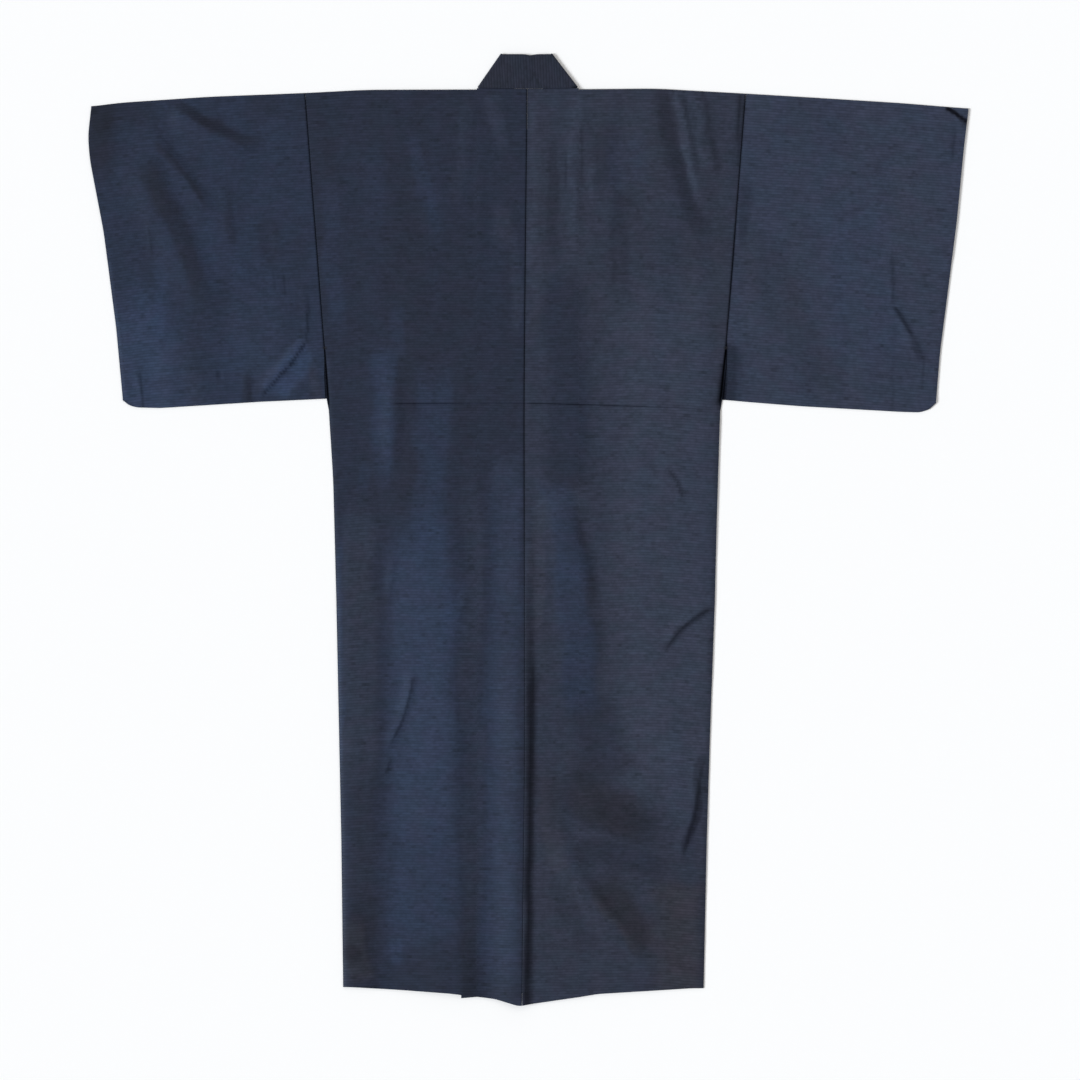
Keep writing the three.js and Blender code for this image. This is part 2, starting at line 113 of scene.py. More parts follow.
# Edges of the cut: each row is (y, x)
CENTRE_SEAM = [(10, 4), (-272, 1), (-496, -1), (-1056, 0), (-1296, -3), (-1470, -5)]
SIDE = {
    -1: [(0, -352), (-420, -320), (-496, -315), (-624, -307), (-816, -302), (-1008, -298),
         (-1200, -294), (-1436, -291)],
    1: [(0, 354), (-420, 321), (-496, 313), (-688, 307), (-816, 304), (-1008, 297),
        (-1200, 291), (-1436, 286)],
}
SLEEVE_INNER = {
    -1: [(0, -352), (-420, -320.2), (-500, -315.8)],
    1: [(0, 354), (-420, 321.2), (-500, 314.4)],
}
CUFF = {
    -1: [(-20, -693), (-74, -699), (-112, -696), (-227, -674), (-381, -654), (-510, -642)],
    1: [(-28, 710), (-93, 702), (-208, 691), (-342, 674), (-419, 664), (-518, 656)],
}

# Edges of the cut: each row is (x, y)
SLEEVE_BOTTOM = {
    -1: [(-643, -494), (-637, -503), (-622, -508), (-584, -509), (-424, -499), (-317, -494)],
    1: [(315, -496), (440, -506), (600, -515), (632, -516), (650, -510), (658, -498)],
}
SHOULDER = [
    (-694, -27), (-654, -21), (-506, -11), (-352, -5), (-258, 0), (88, 1), (210, 2), (354, -6),
    (472, -13), (600, -21), (710, -30),
]
BACK_HEM = [
    (-291, -1435), (-200, -1440), (-123, -1445), (-46, -1454), (-6, -1465), (53, -1456),
    (120, -1446), (286, -1437),
]
FRONT_HEM = {
    -1: [(-291, -1430), (98, -1438)],
    1: [(-102, -1453), (0, -1444), (286, -1432)],
}
TUCK = [(-200, -502), (0, -501), (178, -506), (265, -510)]

# Large folds, as in the frame's solids. Each row is
# (from x, from y, to x, to y, bow, left width, right width, rise, start share, finish share)
FOLDS = [
    (2, -560, -4, -1470, 0, 62, 18, 8, 0.5, 0),
    (-126, -430, -106, -1470, 0, 112, 46, 6, 0.55, 0),
    (-280, -620, -272, -1470, 0, 30, 56, 2.6, 0.3, 0),
    (-212, -420, -218, -640, 4, 26, 22, 2.4, 0.4, 0.5),
    (40, -590, 124, -960, 10, 56, 22, 3, 0.3, 0.4),
    (22, -1080, 190, -1392, -28, 40, 26, 4, 0.3, 0.3),
    (288, -1056, 248, -1240, 3, 24, 12, 2.4, 0.3, 0.3),
    (300, -826, 222, -902, -9, 24, 7, 2.4, 0.2, 0.3),
    (208, 10, 294, -258, -20, 56, 36, 1.8, 0.1, 0.35),
    (238, 10, 316, -240, -12, 12, 28, 2.2, 0.1, 0.4),
    (78, -10, 84, -330, 0, 22, 16, 1.6, 0.2, 0.6),
    (-566, -16, -412, -90, -16, 44, 18, 3.6, 0.15, 0.3),
    (-612, -50, -490, -212, 5, 50, 12, 2.8, 0.3, 0.3),
    (-628, -80, -486, -400, 4, 62, 34, 4, 0.2, 0.4),
    (-430, -496, -346, -396, 0, 14, 16, 1.4, 0.1, 0.3),
    (340, -222, 486, -400, 10, 40, 34, 2, 0.3, 0.5),
    (586, -240, 588, -346, 0, 10, 5, 0.8, 0.3, 0.1),
    (586, -342, 640, -440, 0, 16, 9, 1.8, 0.15, 0.3),
    (600, -84, 500, -166, 0, 16, 22, 1.6, 0.4, 0.4),
]

# Finer creases, in the same columns. A negative one sinks.
CREASES = [
    (-90, 0, -74, -16, 0, 5, 5, -0.8, 0.3, 0.4),
    (86, 2, 78, -16, 0, 5, 5, -0.8, 0.3, 0.4),
    (-96, -6, -100, -180, 2, 20, 18, 0.7, 0.1, 0.5),
    (-50, 0, -30, -130, 2, 20, 18, 0.7, 0.1, 0.5),
    (-74, -30, -70, -400, 2, 16, 12, 0.5, 0.3, 0.5),
    (16, -4, 16, -390, 0, 10, 14, 0.7, 0.1, 0.4),
    (64, -80, 66, -170, 0, 5, 5, -0.6, 0.3, 0.4),
    (112, -20, 118, -160, 0, 16, 14, -0.8, 0.3, 0.5),
    (152, -120, 158, -250, 0, 14, 12, -0.7, 0.3, 0.5),
    (140, -190, 148, -350, 0, 12, 12, -0.7, 0.3, 0.5),
    (262, 8, 292, -150, -3, 8, 9, 0.9, 0.05, 0.5),
    (288, 8, 314, -160, -3, 8, 9, 0.8, 0.05, 0.5),
    (344, 0, 338, -150, 0, 3, 3, -0.9, 0.05, 0.3),
    (-176, -928, -222, -1060, 8, 20, 6, 1.7, 0.15, 0.2),
    (-212, -1064, -224, -1096, 0, 12, 5, 0.9, 0.4, 0.3),
    (-92, -790, -112, -862, 2, 12, 8, 1.1, 0.4, 0.4),
    (-208, -730, -222, -850, 0, 12, 9, 0.9, 0.3, 0.4),
    (-354, -300, -350, -410, 0, 5, 5, 0.7, 0.3, 0.3),
    (-386, -290, -384, -336, 0, 5, 5, -0.5, 0.3, 0.3),
    (-446, -444, -440, -498, 0, 12, 7, 1.0, 0.3, 0.2),
    (-488, -440, -492, -476, 0, 8, 6, -0.7, 0.4, 0.4),
    (-620, -434, -612, -504, 0, 9, 5, 0.9, 0.3, 0.2),
    (-602, -196, -596, -270, 0, 6, 5, 0.5, 0.3, 0.3),
    (-482, -140, -468, -262, 0, 18, 12, 1.0, 0.3, 0.4),
    (-416, -200, -404, -290, 0, 18, 16, -0.8, 0.4, 0.4),
    (614, -110, 616, -280, 0, 10, 6, 0.5, 0.3, 0.4),
    (668, -32, 714, -58, 0, 10, 6, 1.8, 0.1, 0.1),
    (216, -594, 252, -664, 8, 10, 6, 0.9, 0.3, 0.3),
    (92, -700, 122, -900, 6, 10, 9, 0.5, 0.3, 0.4),
    (120, -1096, 178, -1166, -8, 12, 12, 1.0, 0.3, 0.3),
    (70, -1104, 214, -1180, -6, 16, 16, 1.1, 0.3, 0.3),
    (196, -1380, 262, -1412, 0, 12, 10, 0.8, 0.3, 0.3),
]

# How the changeable silk shows on each piece: the shares of blue, pale and brown warp that it starts
# with, and streaks that add to a share. Starts and streaks are partly the silk's own changing tone and
# partly painted sheen, lighter and bluer where folds face the light, and painted shade, darker along
# creases and on slopes turned from it. A streak has the columns of a fold, with its gain in place of
# the rise.
BLUE = {
    "sleeve_left": (0.45, [
        (-704, -10, -692, -160, 0, 64, 66, -0.38, 0.05, 0.4),
        (-700, -22, -560, -24, 0, 60, 40, -0.2, 0.05, 0.5),
        (-460, -14, -344, -24, 0, 40, 30, -0.12, 0.2, 0),
        (-566, -20, -400, -84, -13, 15, 15, -0.3, 0.1, 0.2),
        (-598, -66, -500, -204, 4, 9, 9, -0.24, 0.15, 0.25),
        (-612, -96, -486, -400, 3, 28, 28, -0.27, 0.12, 0.35),
        (-482, -150, -464, -262, 0, 10, 10, -0.15, 0.3, 0.3),
        (-418, -196, -404, -300, 0, 26, 26, -0.2, 0.25, 0.25),
        (-640, -290, -600, -500, 0, 70, 90, 0.34, 0.35, 0),
        (-590, -240, -582, -420, 0, 16, 18, 0.14, 0.3, 0.3),
        (-500, -420, -400, -440, 0, 50, 50, 0.1, 0.3, 0.3),
        (-404, -494, -348, -408, 0, 28, 30, 0.6, 0.15, 0.2),
        (-338, -424, -334, -510, 0, 18, 20, -0.16, 0.2, 0),
        (-450, -440, -442, -500, 0, 14, 12, -0.2, 0.4, 0),
        (-540, -200, -440, -340, 0, 50, 50, 0.08, 0.3, 0.3),
    ]),
    "body_left": (0.23, [
        (-222, -400, -228, -660, 0, 34, 26, 0.32, 0.15, 0.3),
        (-256, -590, -262, -650, 0, 14, 14, 0.2, 0.3, 0.3),
        (-145, -410, -152, -760, 0, 44, 40, 0.28, 0.2, 0.15),
        (-168, -650, -164, -1400, 0, 88, 90, 0.38, 0.14, 0.1),
        (-112, -780, -114, -900, 0, 30, 32, 0.2, 0.15, 0.4),
        (-30, -510, -40, -1450, 0, 48, 42, 0.23, 0.2, 0.06),
        (-190, -60, -142, -236, 0, 14, 20, 0.22, 0.2, 0.25),
        (-236, -60, -236, -240, 0, 24, 20, 0.1, 0.3, 0.3),
        (-318, -120, -300, -410, 0, 22, 30, 0.22, 0.2, 0.2),
        (-205, -330, -196, -440, 0, 20, 16, 0.18, 0.3, 0.3),
        (-212, -1350, -206, -1400, 0, 22, 22, 0.3, 0.3, 0.3),
        (-298, -700, -296, -1160, 0, 8, 8, 0.3, 0.1, 0.2),
        (-262, -650, -258, -1440, 0, 40, 36, -0.14, 0.2, 0),
        (-280, -1310, -266, -1430, 0, 36, 36, -0.2, 0.3, 0.2),
        (-90, -1150, -88, -1450, 0, 22, 20, -0.1, 0.2, 0),
    ]),
    "body_right": (0.05, [
        (62, -250, 66, -640, 0, 50, 56, 0.12, 0.2, 0.1),
        (34, -612, 84, -800, 8, 38, 40, 0.36, 0.15, 0.2),
        (56, -720, 92, -1020, 6, 40, 44, 0.38, 0.25, 0.15),
        (150, -60, 160, -170, 0, 40, 40, 0.14, 0.3, 0.3),
        (182, -60, 186, -160, 0, 24, 24, 0.12, 0.3, 0.3),
        (100, -1000, 120, -1090, 0, 60, 60, 0.12, 0.3, 0.3),
        (62, -1200, 90, -1270, 0, 14, 14, 0.12, 0.3, 0.3),
        (110, -1215, 230, -1235, 0, 26, 26, 0.08, 0.3, 0.3),
    ]),
    "sleeve_right": (0.26, [
        (520, -130, 560, -470, 0, 110, 80, 0.16, 0.3, 0.2),
        (340, -216, 500, -490, 10, 70, 36, -0.12, 0.15, 0.1),
        (670, -28, 710, -50, 0, 6, 7, -0.2, 0.1, 0),
    ]),
}
PALE = {
    "sleeve_left": (0.0, [
        (-640, -320, -600, -500, 0, 70, 64, 0.75, 0.4, 0),
        (-590, -396, -560, -500, 0, 60, 70, 0.4, 0.3, 0),
        (-440, -300, -420, -480, 0, 70, 60, 0.25, 0.3, 0.2),
        (-404, -494, -348, -408, 0, 30, 34, 1.0, 0.15, 0.2),
        (-440, -492, -356, -396, 0, 7, 9, 0.2, 0.1, 0.2),
        (-338, -424, -334, -510, 0, 18, 20, 0.2, 0.2, 0),
    ]),
    "body_left": (0.03, [
        (-92, -4, -98, -170, 0, 16, 16, 0.2, 0.1, 0.3),
        (-52, 0, -30, -120, 0, 18, 18, 0.24, 0.1, 0.3),
        (-40, -160, -36, -270, 0, 24, 20, 0.16, 0.3, 0.3),
        (-16, -200, -14, -410, 0, 22, 16, 0.24, 0.2, 0.2),
        (-268, -640, -264, -1190, 0, 44, 44, 0.48, 0.15, 0.3),
        (-264, -1090, -262, -1340, 0, 44, 44, 0.2, 0.3, 0.3),
        (-166, -700, -166, -1220, 0, 72, 76, 0.42, 0.2, 0.15),
        (-26, -560, -30, -860, 0, 36, 32, 0.3, 0.15, 0.3),
        (-38, -860, -40, -1440, 0, 42, 40, 0.08, 0.2, 0.1),
        (-86, -560, -82, -1470, 0, 30, 26, 0.38, 0.15, 0.2),
    ]),
    "body_right": (0.5, [
        (14, -10, 13, -400, 0, 9, 14, 0.2, 0.05, 0.2),
        (78, -6, 76, -120, 0, 14, 14, 0.3, 0.08, 0.3),
        (76, -120, 74, -280, 0, 7, 9, 0.2, 0.1, 0.3),
        (104, -90, 106, -190, 0, 9, 9, 0.25, 0.3, 0.3),
        (42, -60, 46, -280, 0, 18, 16, -0.28, 0.2, 0.2),
        (130, -50, 128, -170, 0, 34, 34, -0.25, 0.2, 0.3),
        (158, -140, 150, -360, 0, 28, 24, -0.25, 0.2, 0.3),
        (222, 14, 296, -262, -13, 26, 26, -0.32, 0.06, 0.25),
        (237, 8, 284, -190, -4, 9, 9, 0.4, 0.05, 0.3),
        (288, -4, 310, -160, 0, 10, 10, -0.25, 0.1, 0.3),
        (264, 8, 290, -150, 0, 9, 9, 0.3, 0.05, 0.3),
        (350, -8, 341, -150, 0, 12, 9, -0.4, 0.05, 0.3),
        (62, -270, 68, -650, 0, 52, 58, -0.38, 0.15, 0.08),
        (18, -640, 14, -890, 0, 16, 22, 0.2, 0.1, 0.2),
        (66, -650, 92, -1010, 8, 44, 44, -0.4, 0.15, 0.15),
        (100, -960, 150, -1110, 6, 80, 50, -0.35, 0.2, 0.2),
        (240, -240, 230, -1200, 0, 160, 100, 0.34, 0.15, 0.15),
        (230, -1020, 240, -1200, 0, 24, 24, 0.2, 0.2, 0.3),
        (30, -1096, 236, -1194, -8, 50, 60, -0.5, 0.3, 0.25),
        (150, -1108, 226, -1156, 0, 22, 22, 0.12, 0.3, 0.3),
        (70, -1210, 240, -1245, 0, 40, 34, -0.3, 0.2, 0.2),
        (96, -1258, 202, -1404, 4, 18, 66, -0.5, 0.25, 0.25),
        (250, -1256, 252, -1440, 0, 70, 60, -0.5, 0.15, 0),
        (285, -1056, 252, -1236, 6, 12, 10, -0.45, 0.1, 0.2),
        (14, -900, 2, -1470, 0, 14, 14, -0.35, 0.1, 0),
        (30, -1080, 44, -1240, 0, 24, 24, -0.26, 0.2, 0.3),
        (50, -1230, 120, -1400, -8, 30, 30, -0.16, 0.3, 0.3),
        (300, -826, 222, -902, -9, 8, 9, -0.35, 0.1, 0.15),
        (218, -598, 250, -662, 6, 9, 8, -0.25, 0.2, 0.2),
    ]),
    "sleeve_right": (0.76, [
        (340, -216, 500, -490, 10, 76, 36, -0.22, 0.15, 0.1),
        (400, -20, 560, -70, 0, 90, 60, -0.1, 0.2, 0.3),
        (587, -250, 588, -345, 0, 5, 5, -0.25, 0.2, 0),
        (588, -345, 622, -400, 0, 7, 6, -0.4, 0.1, 0.2),
        (618, -390, 636, -440, 0, 14, 12, -0.3, 0.3, 0.3),
        (670, -28, 710, -50, 0, 6, 7, -0.75, 0.1, 0),
        (684, -40, 686, -120, 0, 8, 8, -0.3, 0.2, 0.3),
        (560, -108, 516, -146, 0, 10, 10, -0.25, 0.3, 0.3),
        (352, -140, 348, -270, 0, 14, 18, -0.35, 0.2, 0.3),
        (334, -400, 330, -510, 0, 20, 22, -0.4, 0.2, 0),
    ]),
    "collar": (0.1, []),
}
BROWN = {
    "sleeve_left": (0.0, [
        (-596, -110, -572, -210, 0, 14, 14, 0.15, 0.3, 0.3),
        (-338, -430, -334, -505, 0, 12, 14, 0.3, 0.3, 0),
    ]),
    "body_left": (0.03, [
        (-40, -170, -36, -260, 0, 20, 18, 0.2, 0.3, 0.3),
        (-108, -120, -110, -190, 0, 14, 14, 0.15, 0.3, 0.3),
        (-280, -1316, -268, -1430, 0, 34, 34, 0.4, 0.3, 0.1),
        (-14, -300, -12, -400, 0, 14, 12, 0.15, 0.3, 0.3),
    ]),
    "body_right": (0.03, [
        (248, -1256, 250, -1450, 0, 76, 60, 0.75, 0.15, 0),
        (20, -660, 18, -880, 0, 14, 14, 0.3, 0.2, 0.2),
        (26, -1070, 60, -1260, 0, 26, 28, 0.25, 0.2, 0.2),
        (50, -1116, 226, -1192, 0, 40, 50, 0.3, 0.3, 0.3),
        (20, -340, 22, -400, 0, 14, 14, 0.2, 0.3, 0.3),
        (100, -1264, 200, -1396, 0, 20, 66, 0.5, 0.25, 0.25),
    ]),
    "collar": (0.2, []),
}

# Painted shade: thin dark lines of the sharpest creases and the deepest hollows, where shade falls, in
# the same columns
PAINTED_SHADE = {
    "sleeve_left": (0.0, [
        (-424, -494, -376, -440, 0, 4, 4, 0.55, 0.2, 0.1),
        (-378, -443, -350, -404, 0, 4, 4, 0.55, 0.1, 0.1),
        (-350, -408, -346, -320, 0, 4, 4, 0.35, 0.1, 0.4),
        (-386, -290, -384, -336, 0, 4, 4, 0.3, 0.2, 0.3),
        (-404, -286, -402, -326, 0, 4, 4, 0.2, 0.2, 0.3),
        (-448, -450, -441, -500, 0, 7, 7, 0.2, 0.4, 0),
        (-492, -444, -488, -468, 0, 6, 6, 0.35, 0.3, 0.3),
        (-620, -440, -611, -504, 0, 4, 4, 0.35, 0.3, 0),
        (-603, -210, -597, -272, 0, 4, 4, 0.25, 0.3, 0.3),
        (-594, -74, -504, -196, 4, 6, 6, 0.2, 0.2, 0.2),
        (-550, -30, -440, -76, -8, 9, 9, 0.15, 0.2, 0.3),
        (-606, -110, -560, -250, 2, 16, 14, 0.15, 0.3, 0.3),
    ]),
    "body_left": (0.0, [
        (-177, -932, -221, -1058, 8, 4, 4, 0.4, 0.1, 0.2),
        (-214, -1068, -224, -1096, 0, 4, 4, 0.3, 0.3, 0.3),
        (-89, -1338, -88, -1452, 0, 18, 18, 0.12, 0.1, 0),
        (-296, -1366, -258, -1396, 0, 24, 22, 0.3, 0.3, 0.3),
    ]),
    "body_right": (0.0, [
        (300, -828, 222, -902, -9, 4, 4, 0.4, 0.1, 0.2),
        (219, -598, 252, -664, 8, 4, 4, 0.3, 0.2, 0.3),
        (288, -1064, 250, -1238, 3, 6, 5, 0.4, 0.2, 0.2),
        (84, -680, 114, -860, 6, 6, 6, 0.15, 0.3, 0.3),
        (66, -86, 66, -170, 0, 4, 4, 0.3, 0.3, 0.3),
        (90, -40, 92, -160, 0, 4, 4, 0.2, 0.3, 0.3),
        (70, -1122, 222, -1192, -6, 22, 40, 0.22, 0.4, 0.3),
        (100, -1262, 200, -1394, 4, 12, 50, 0.25, 0.3, 0.3),
        (252, -2, 282, -140, -2, 6, 6, 0.2, 0.1, 0.3),
        (286, -4, 308, -150, 0, 8, 8, 0.15, 0.1, 0.3),
        (13, -902, 2, -1466, 0, 5, 6, 0.3, 0.06, 0),
        (344, -6, 338, -150, 0, 4, 4, 0.3, 0.02, 0.3),
        (235, 4, 238, -12, 0, 4, 5, 0.4, 0.1, 0.5),
        (255, 2, 258, -10, 0, 4, 4, 0.35, 0.1, 0.5),
        (283, 0, 284, -12, 0, 4, 4, 0.3, 0.1, 0.5),
        (301, 0, 303, -10, 0, 4, 4, 0.3, 0.1, 0.5),
    ]),
    "sleeve_right": (0.0, [
        (587, -246, 589, -346, 0, 4, 4, 0.2, 0.2, 0.1),
        (589, -344, 622, -400, 0, 5, 5, 0.4, 0.1, 0.2),
        (620, -394, 634, -434, 0, 12, 10, 0.2, 0.3, 0.3),
        (638, -426, 634, -478, 0, 4, 4, 0.25, 0.2, 0.3),
        (670, -27, 711, -52, 0, 5, 6, 0.75, 0.1, 0),
        (688, -50, 684, -122, 0, 5, 5, 0.25, 0.3, 0.3),
        (352, -130, 348, -260, 0, 12, 16, 0.15, 0.2, 0.3),
        (330, -392, 326, -510, 0, 16, 18, 0.3, 0.2, 0),
    ]),
    "collar": (0.0, [
        (72, 4, 88, 0, 0, 6, 6, 0.6, 0.3, 0),
    ]),
}


def smooth(share):
    """Smooth step: 3 t squared less 2 t cubed, on the share held from 0 to 1."""
    t = np.clip(share, 0.0, 1.0)
    return t * t * (3.0 - 2.0 * t)


def lerp(a, b, share):
    return a + (b - a) * share


def line(table, values, reach=0.0):
    """Straight interpolation in a two-column table. A reach takes the mean of five places, which rounds
    corners."""
    places, found = np.array(sorted(table), dtype=float).T
    steps = np.linspace(-reach, reach, 5) if reach else [0.0]
    return sum(np.interp(np.asarray(values) + step, places, found) for step in steps) / len(steps)


def side_x(side, y):
    return line(SIDE[side], y)


def centre_x(y):
    return line(CENTRE_SEAM, y, 60.0)


def shoulder_y(x):
    return line(SHOULDER, x, 20.0)


def hem_y(x):
    return line(BACK_HEM, x, 6.0)


def along_row(row, x, y):
    """How near a place is to a row's line, as a raised cosine with its own width on each side, and how far
    the row has risen there between its start and its finish."""
    from_x, from_y, to_x, to_y, bow, left, right, _, start, finish = row
    along_x, along_y = to_x - from_x, to_y - from_y
    length = math.hypot(along_x, along_y)
    off_x, off_y = x - from_x, y - from_y
    share = (off_x * along_x + off_y * along_y) / length ** 2
    middle = np.clip(share, 0.0, 1.0)
    aside = (off_y * along_x - off_x * along_y) / length - bow * 4.0 * middle * (1.0 - middle)
    width = np.where(aside < 0.0, left, right)
    near = (1.0 + np.cos(math.pi * np.minimum(np.abs(aside) / width, 1.0))) / 2.0
    dying = smooth((1.0 - share) / finish) if finish else 1.0
    return near, smooth(share / start) * dying


def ridge(row, x, y):
    """Height of one fold: its rise times the raised cosine across it and the fades at its ends."""
    near, risen = along_row(row, x, y)
    return row[7] * near * risen


def streak(row, x, y):
    """Share that one streak adds: as a fold, with a flatter top and steeper sides, and tapered at its
    ends."""
    near, risen = along_row(row, x, y)
    return row[7] * smooth(1.35 * near * lerp(0.5, 1.0, risen)) * risen


def soft_noise(x, y, cell_x, cell_y, seed):
    """Value noise from -1 to 1: random heights on a lattice of cells, joined by smooth steps."""
    lattice = np.random.default_rng(seed).uniform(-1.0, 1.0, (LATTICE, LATTICE))
    u, v = x / cell_x + 1000.0, y / cell_y + 1000.0
    i, j = np.floor(u).astype(int), np.floor(v).astype(int)
    s, t = smooth(u - i), smooth(v - j)
    left, right, near, far = i % LATTICE, (i + 1) % LATTICE, j % LATTICE, (j + 1) % LATTICE
    low = lerp(lattice[left, near], lattice[right, near], s)
    high = lerp(lattice[left, far], lattice[right, far], s)
    return lerp(low, high, t)


def tuck_step(x, y):
    """The hidden tuck at the waist: a groove along its line, with the cloth above it standing a little
    higher."""
    above = y - line(TUCK, x, 20.0)
    shown = smooth((x + 250.0) / 60.0) * smooth((300.0 - x) / 50.0)
    ledge = smooth((above + 0.6) / 1.2) * np.exp(-np.maximum(above, 0.0) / 9.0)
    return shown * (0.55 * ledge - 0.5 * np.exp(-((above + 1.0) / 1.3) ** 2))


def relief(x, y):
    """Sum of the folds, the creases and three sizes of soft noise, dying away at the shoulder fold."""
    height = sum(ridge(row, x, y) for row in FOLDS + CREASES)
    height = height + 0.5 * soft_noise(x, y, 62.0, 170.0, 3)
    height = height + 0.28 * soft_noise(x + 0.4 * y, y, 26.0, 74.0, 7)
    height = height + 0.1 * soft_noise(x - 0.5 * y, y, 12.0, 30.0, 11)
    return height * smooth((shoulder_y(x) - y) / EDGE_SOFTNESS)


def warp_sheen_and_shade_shares(node, x, y):
    """Shares of blue, pale and brown warp, which partly paint sheen and shade, and of painted shade: the
    piece's start, its streaks with slightly wandering edges, and noise drawn out along the cloth. The last
    share has the painted shade of the seams added."""
    wander_x = x + 7.0 * soft_noise(x, y, 30.0, 55.0, 41) + 3.0 * soft_noise(x, y, 9.0, 24.0, 43)
    wander_y = y + 8.0 * soft_noise(x, y, 45.0, 45.0, 47)
    drawn = 0.08 * soft_noise(x, y, 24.0, 150.0, 31) + 0.05 * soft_noise(x, y, 60.0, 90.0, 37)
    shares = []
    tables = ((BLUE, 1.0, 1.0), (PALE, -0.5, 1.0), (BROWN, 0.0, 1.0), (PAINTED_SHADE, 0.0, 0.15))
    for table, sign, wander in tables:
        start, rows = table.get(node, (0.1 if wander == 1.0 else 0.0, []))
        place = lerp(x, wander_x, wander), lerp(y, wander_y, wander)
        shares.append(start + sum((streak(row, *place) for row in rows), 0.0 * x) + sign * drawn)
    shares[-1] = shares[-1] + painted_seam_shade(node, x, y)
    return np.clip(np.stack(shares, -1), 0.0, 1.0)


def bell(distance, width):
    return np.exp(-(distance / width) ** 2)


def painted_seam_shade(node, x, y):
    """Painted shade: how far a place lies in the shade of a seam, the tuck line or the dark of a sleeve
    slit, as narrow bells across each."""
    side = -1 if node.endswith("left") else 1
    slit = 0.92 * smooth((-400.0 - y) / 24.0)
    reach = lerp(0.25, 0.75, smooth((-400.0 - y) / 90.0)) * SLIT[side]
    if node.startswith("sleeve"):
        to_body = side * (x - line(SLEEVE_INNER[side], y))
        deep = 0.5 if side < 0 else 0.45 + 0.5 * bell(y + 280.0, 90.0)
        return deep * bell(to_body, 1.3) + slit * bell(to_body, reach)
    if node.startswith("body"):
        to_side = x - side_x(side, y)
        left_part = smooth((x + 215.0) / 15.0) * smooth((-85.0 - x) / 40.0)
        right_part = smooth(x / 6.0) * smooth((270.0 - x) / 120.0)
        tuck = bell(y - line(TUCK, x, 20.0), 1.2) * np.where(x < -40.0, left_part, right_part)
        centre = 0.5 * bell(x - centre_x(y), 1.4) * lerp(0.6, 1.0, smooth((y + 860.0) / 240.0))
        seams = centre + 0.6 * bell(to_side, 1.2) * smooth((y + 520.0) / 20.0)
        edge = slit * bell(to_side, reach) * smooth((y + 512.0) / 16.0)
        return seams + edge + 0.5 * tuck
    return 0.0 * x


def back_under(x):
    share = smooth((np.abs(x) - MIDDLE_REACH) / (SIDE_REACH - MIDDLE_REACH))
    return lerp(MIDDLE_UNDER, WALL + LAYER_GAP, share)


def back_top(x, y):
    return back_under(x) + WALL + relief(x, y)


def settled_slope(side):
    """Slope that the collar settles to, so that its free edge ends at the front edge."""
    inward = side * (NECK_X[side] - FRONT_EDGE[side]) - COLLAR_WIDTH
    eased = COLLAR_SETTLE * (1.0 - math.exp(-COLLAR_END / COLLAR_SETTLE))
    return (inward - COLLAR_LEAVE[side] * eased) / (COLLAR_END - eased)


def collar_seam(side, drop):
    """Place and slope of the collar seam: it leaves the neck at one slope and eases to another."""
    settled, leave = settled_slope(side), COLLAR_LEAVE[side]
    fading = np.exp(-np.maximum(drop, 0.0) / COLLAR_SETTLE)
    inward = settled * drop + (leave - settled) * COLLAR_SETTLE * (1.0 - fading)
    inward = np.where(drop < 0.0, leave * drop, inward)
    return NECK_X[side] - side * inward, settled + (leave - settled) * fading


def collar_place(side, drop, across):
    """A place on the collar of a front: across mm in from its seam, square to it."""
    x, slope = collar_seam(side, drop)
    stretch = np.hypot(1.0, slope)
    return x - side * across / stretch, NECK_Y - drop + across * slope / stretch


def left_reach(y):
    drop = NECK_Y - y
    x, slope = collar_seam(-1, drop)
    return np.where(drop > COLLAR_END, FRONT_EDGE[-1], x + COLLAR_WIDTH * np.hypot(1.0, slope))


def front_under(side, x, y):
    """Underside of a front: the left one lies on the surface, the right one climbs over it."""
    if side < 0:
        return np.zeros_like(x)
    return FRONT_LIFT * (1.0 - smooth((x - left_reach(y) - LIFT_START) / LIFT_RUN))


def overlap_seam_x(side, y):
    hem_x, hem_level = SIDE[side][-1][1], SIDE[side][-1][0]
    top_x, top_y = collar_seam(side, OVERLAP_POINT)[0], NECK_Y - OVERLAP_POINT
    return lerp(top_x, hem_x - side * FRONT_PANEL, (top_y - y) / (top_y - hem_level))


def panel_inner_x(side, y):
    drop = NECK_Y - y
    on_collar = collar_seam(side, np.maximum(drop, 0.0))[0]
    return np.where(drop <= OVERLAP_POINT, on_collar, overlap_seam_x(side, y)) + side * SEAM_GAP


def steps_with_ends(length, spacing, fine=(0.5, 1.2, 2.4, 4.5)):
    """Places from 0 to length at about one spacing, and closer at both ends."""
    middle = np.linspace(0.0, length, max(2, int(round(length / spacing)) + 1))
    inside = middle[(middle > fine[-1] + 1.0) & (middle < length - fine[-1] - 1.0)]
    return np.concatenate([[0.0], fine, inside, length - np.array(fine[::-1]), [length]])


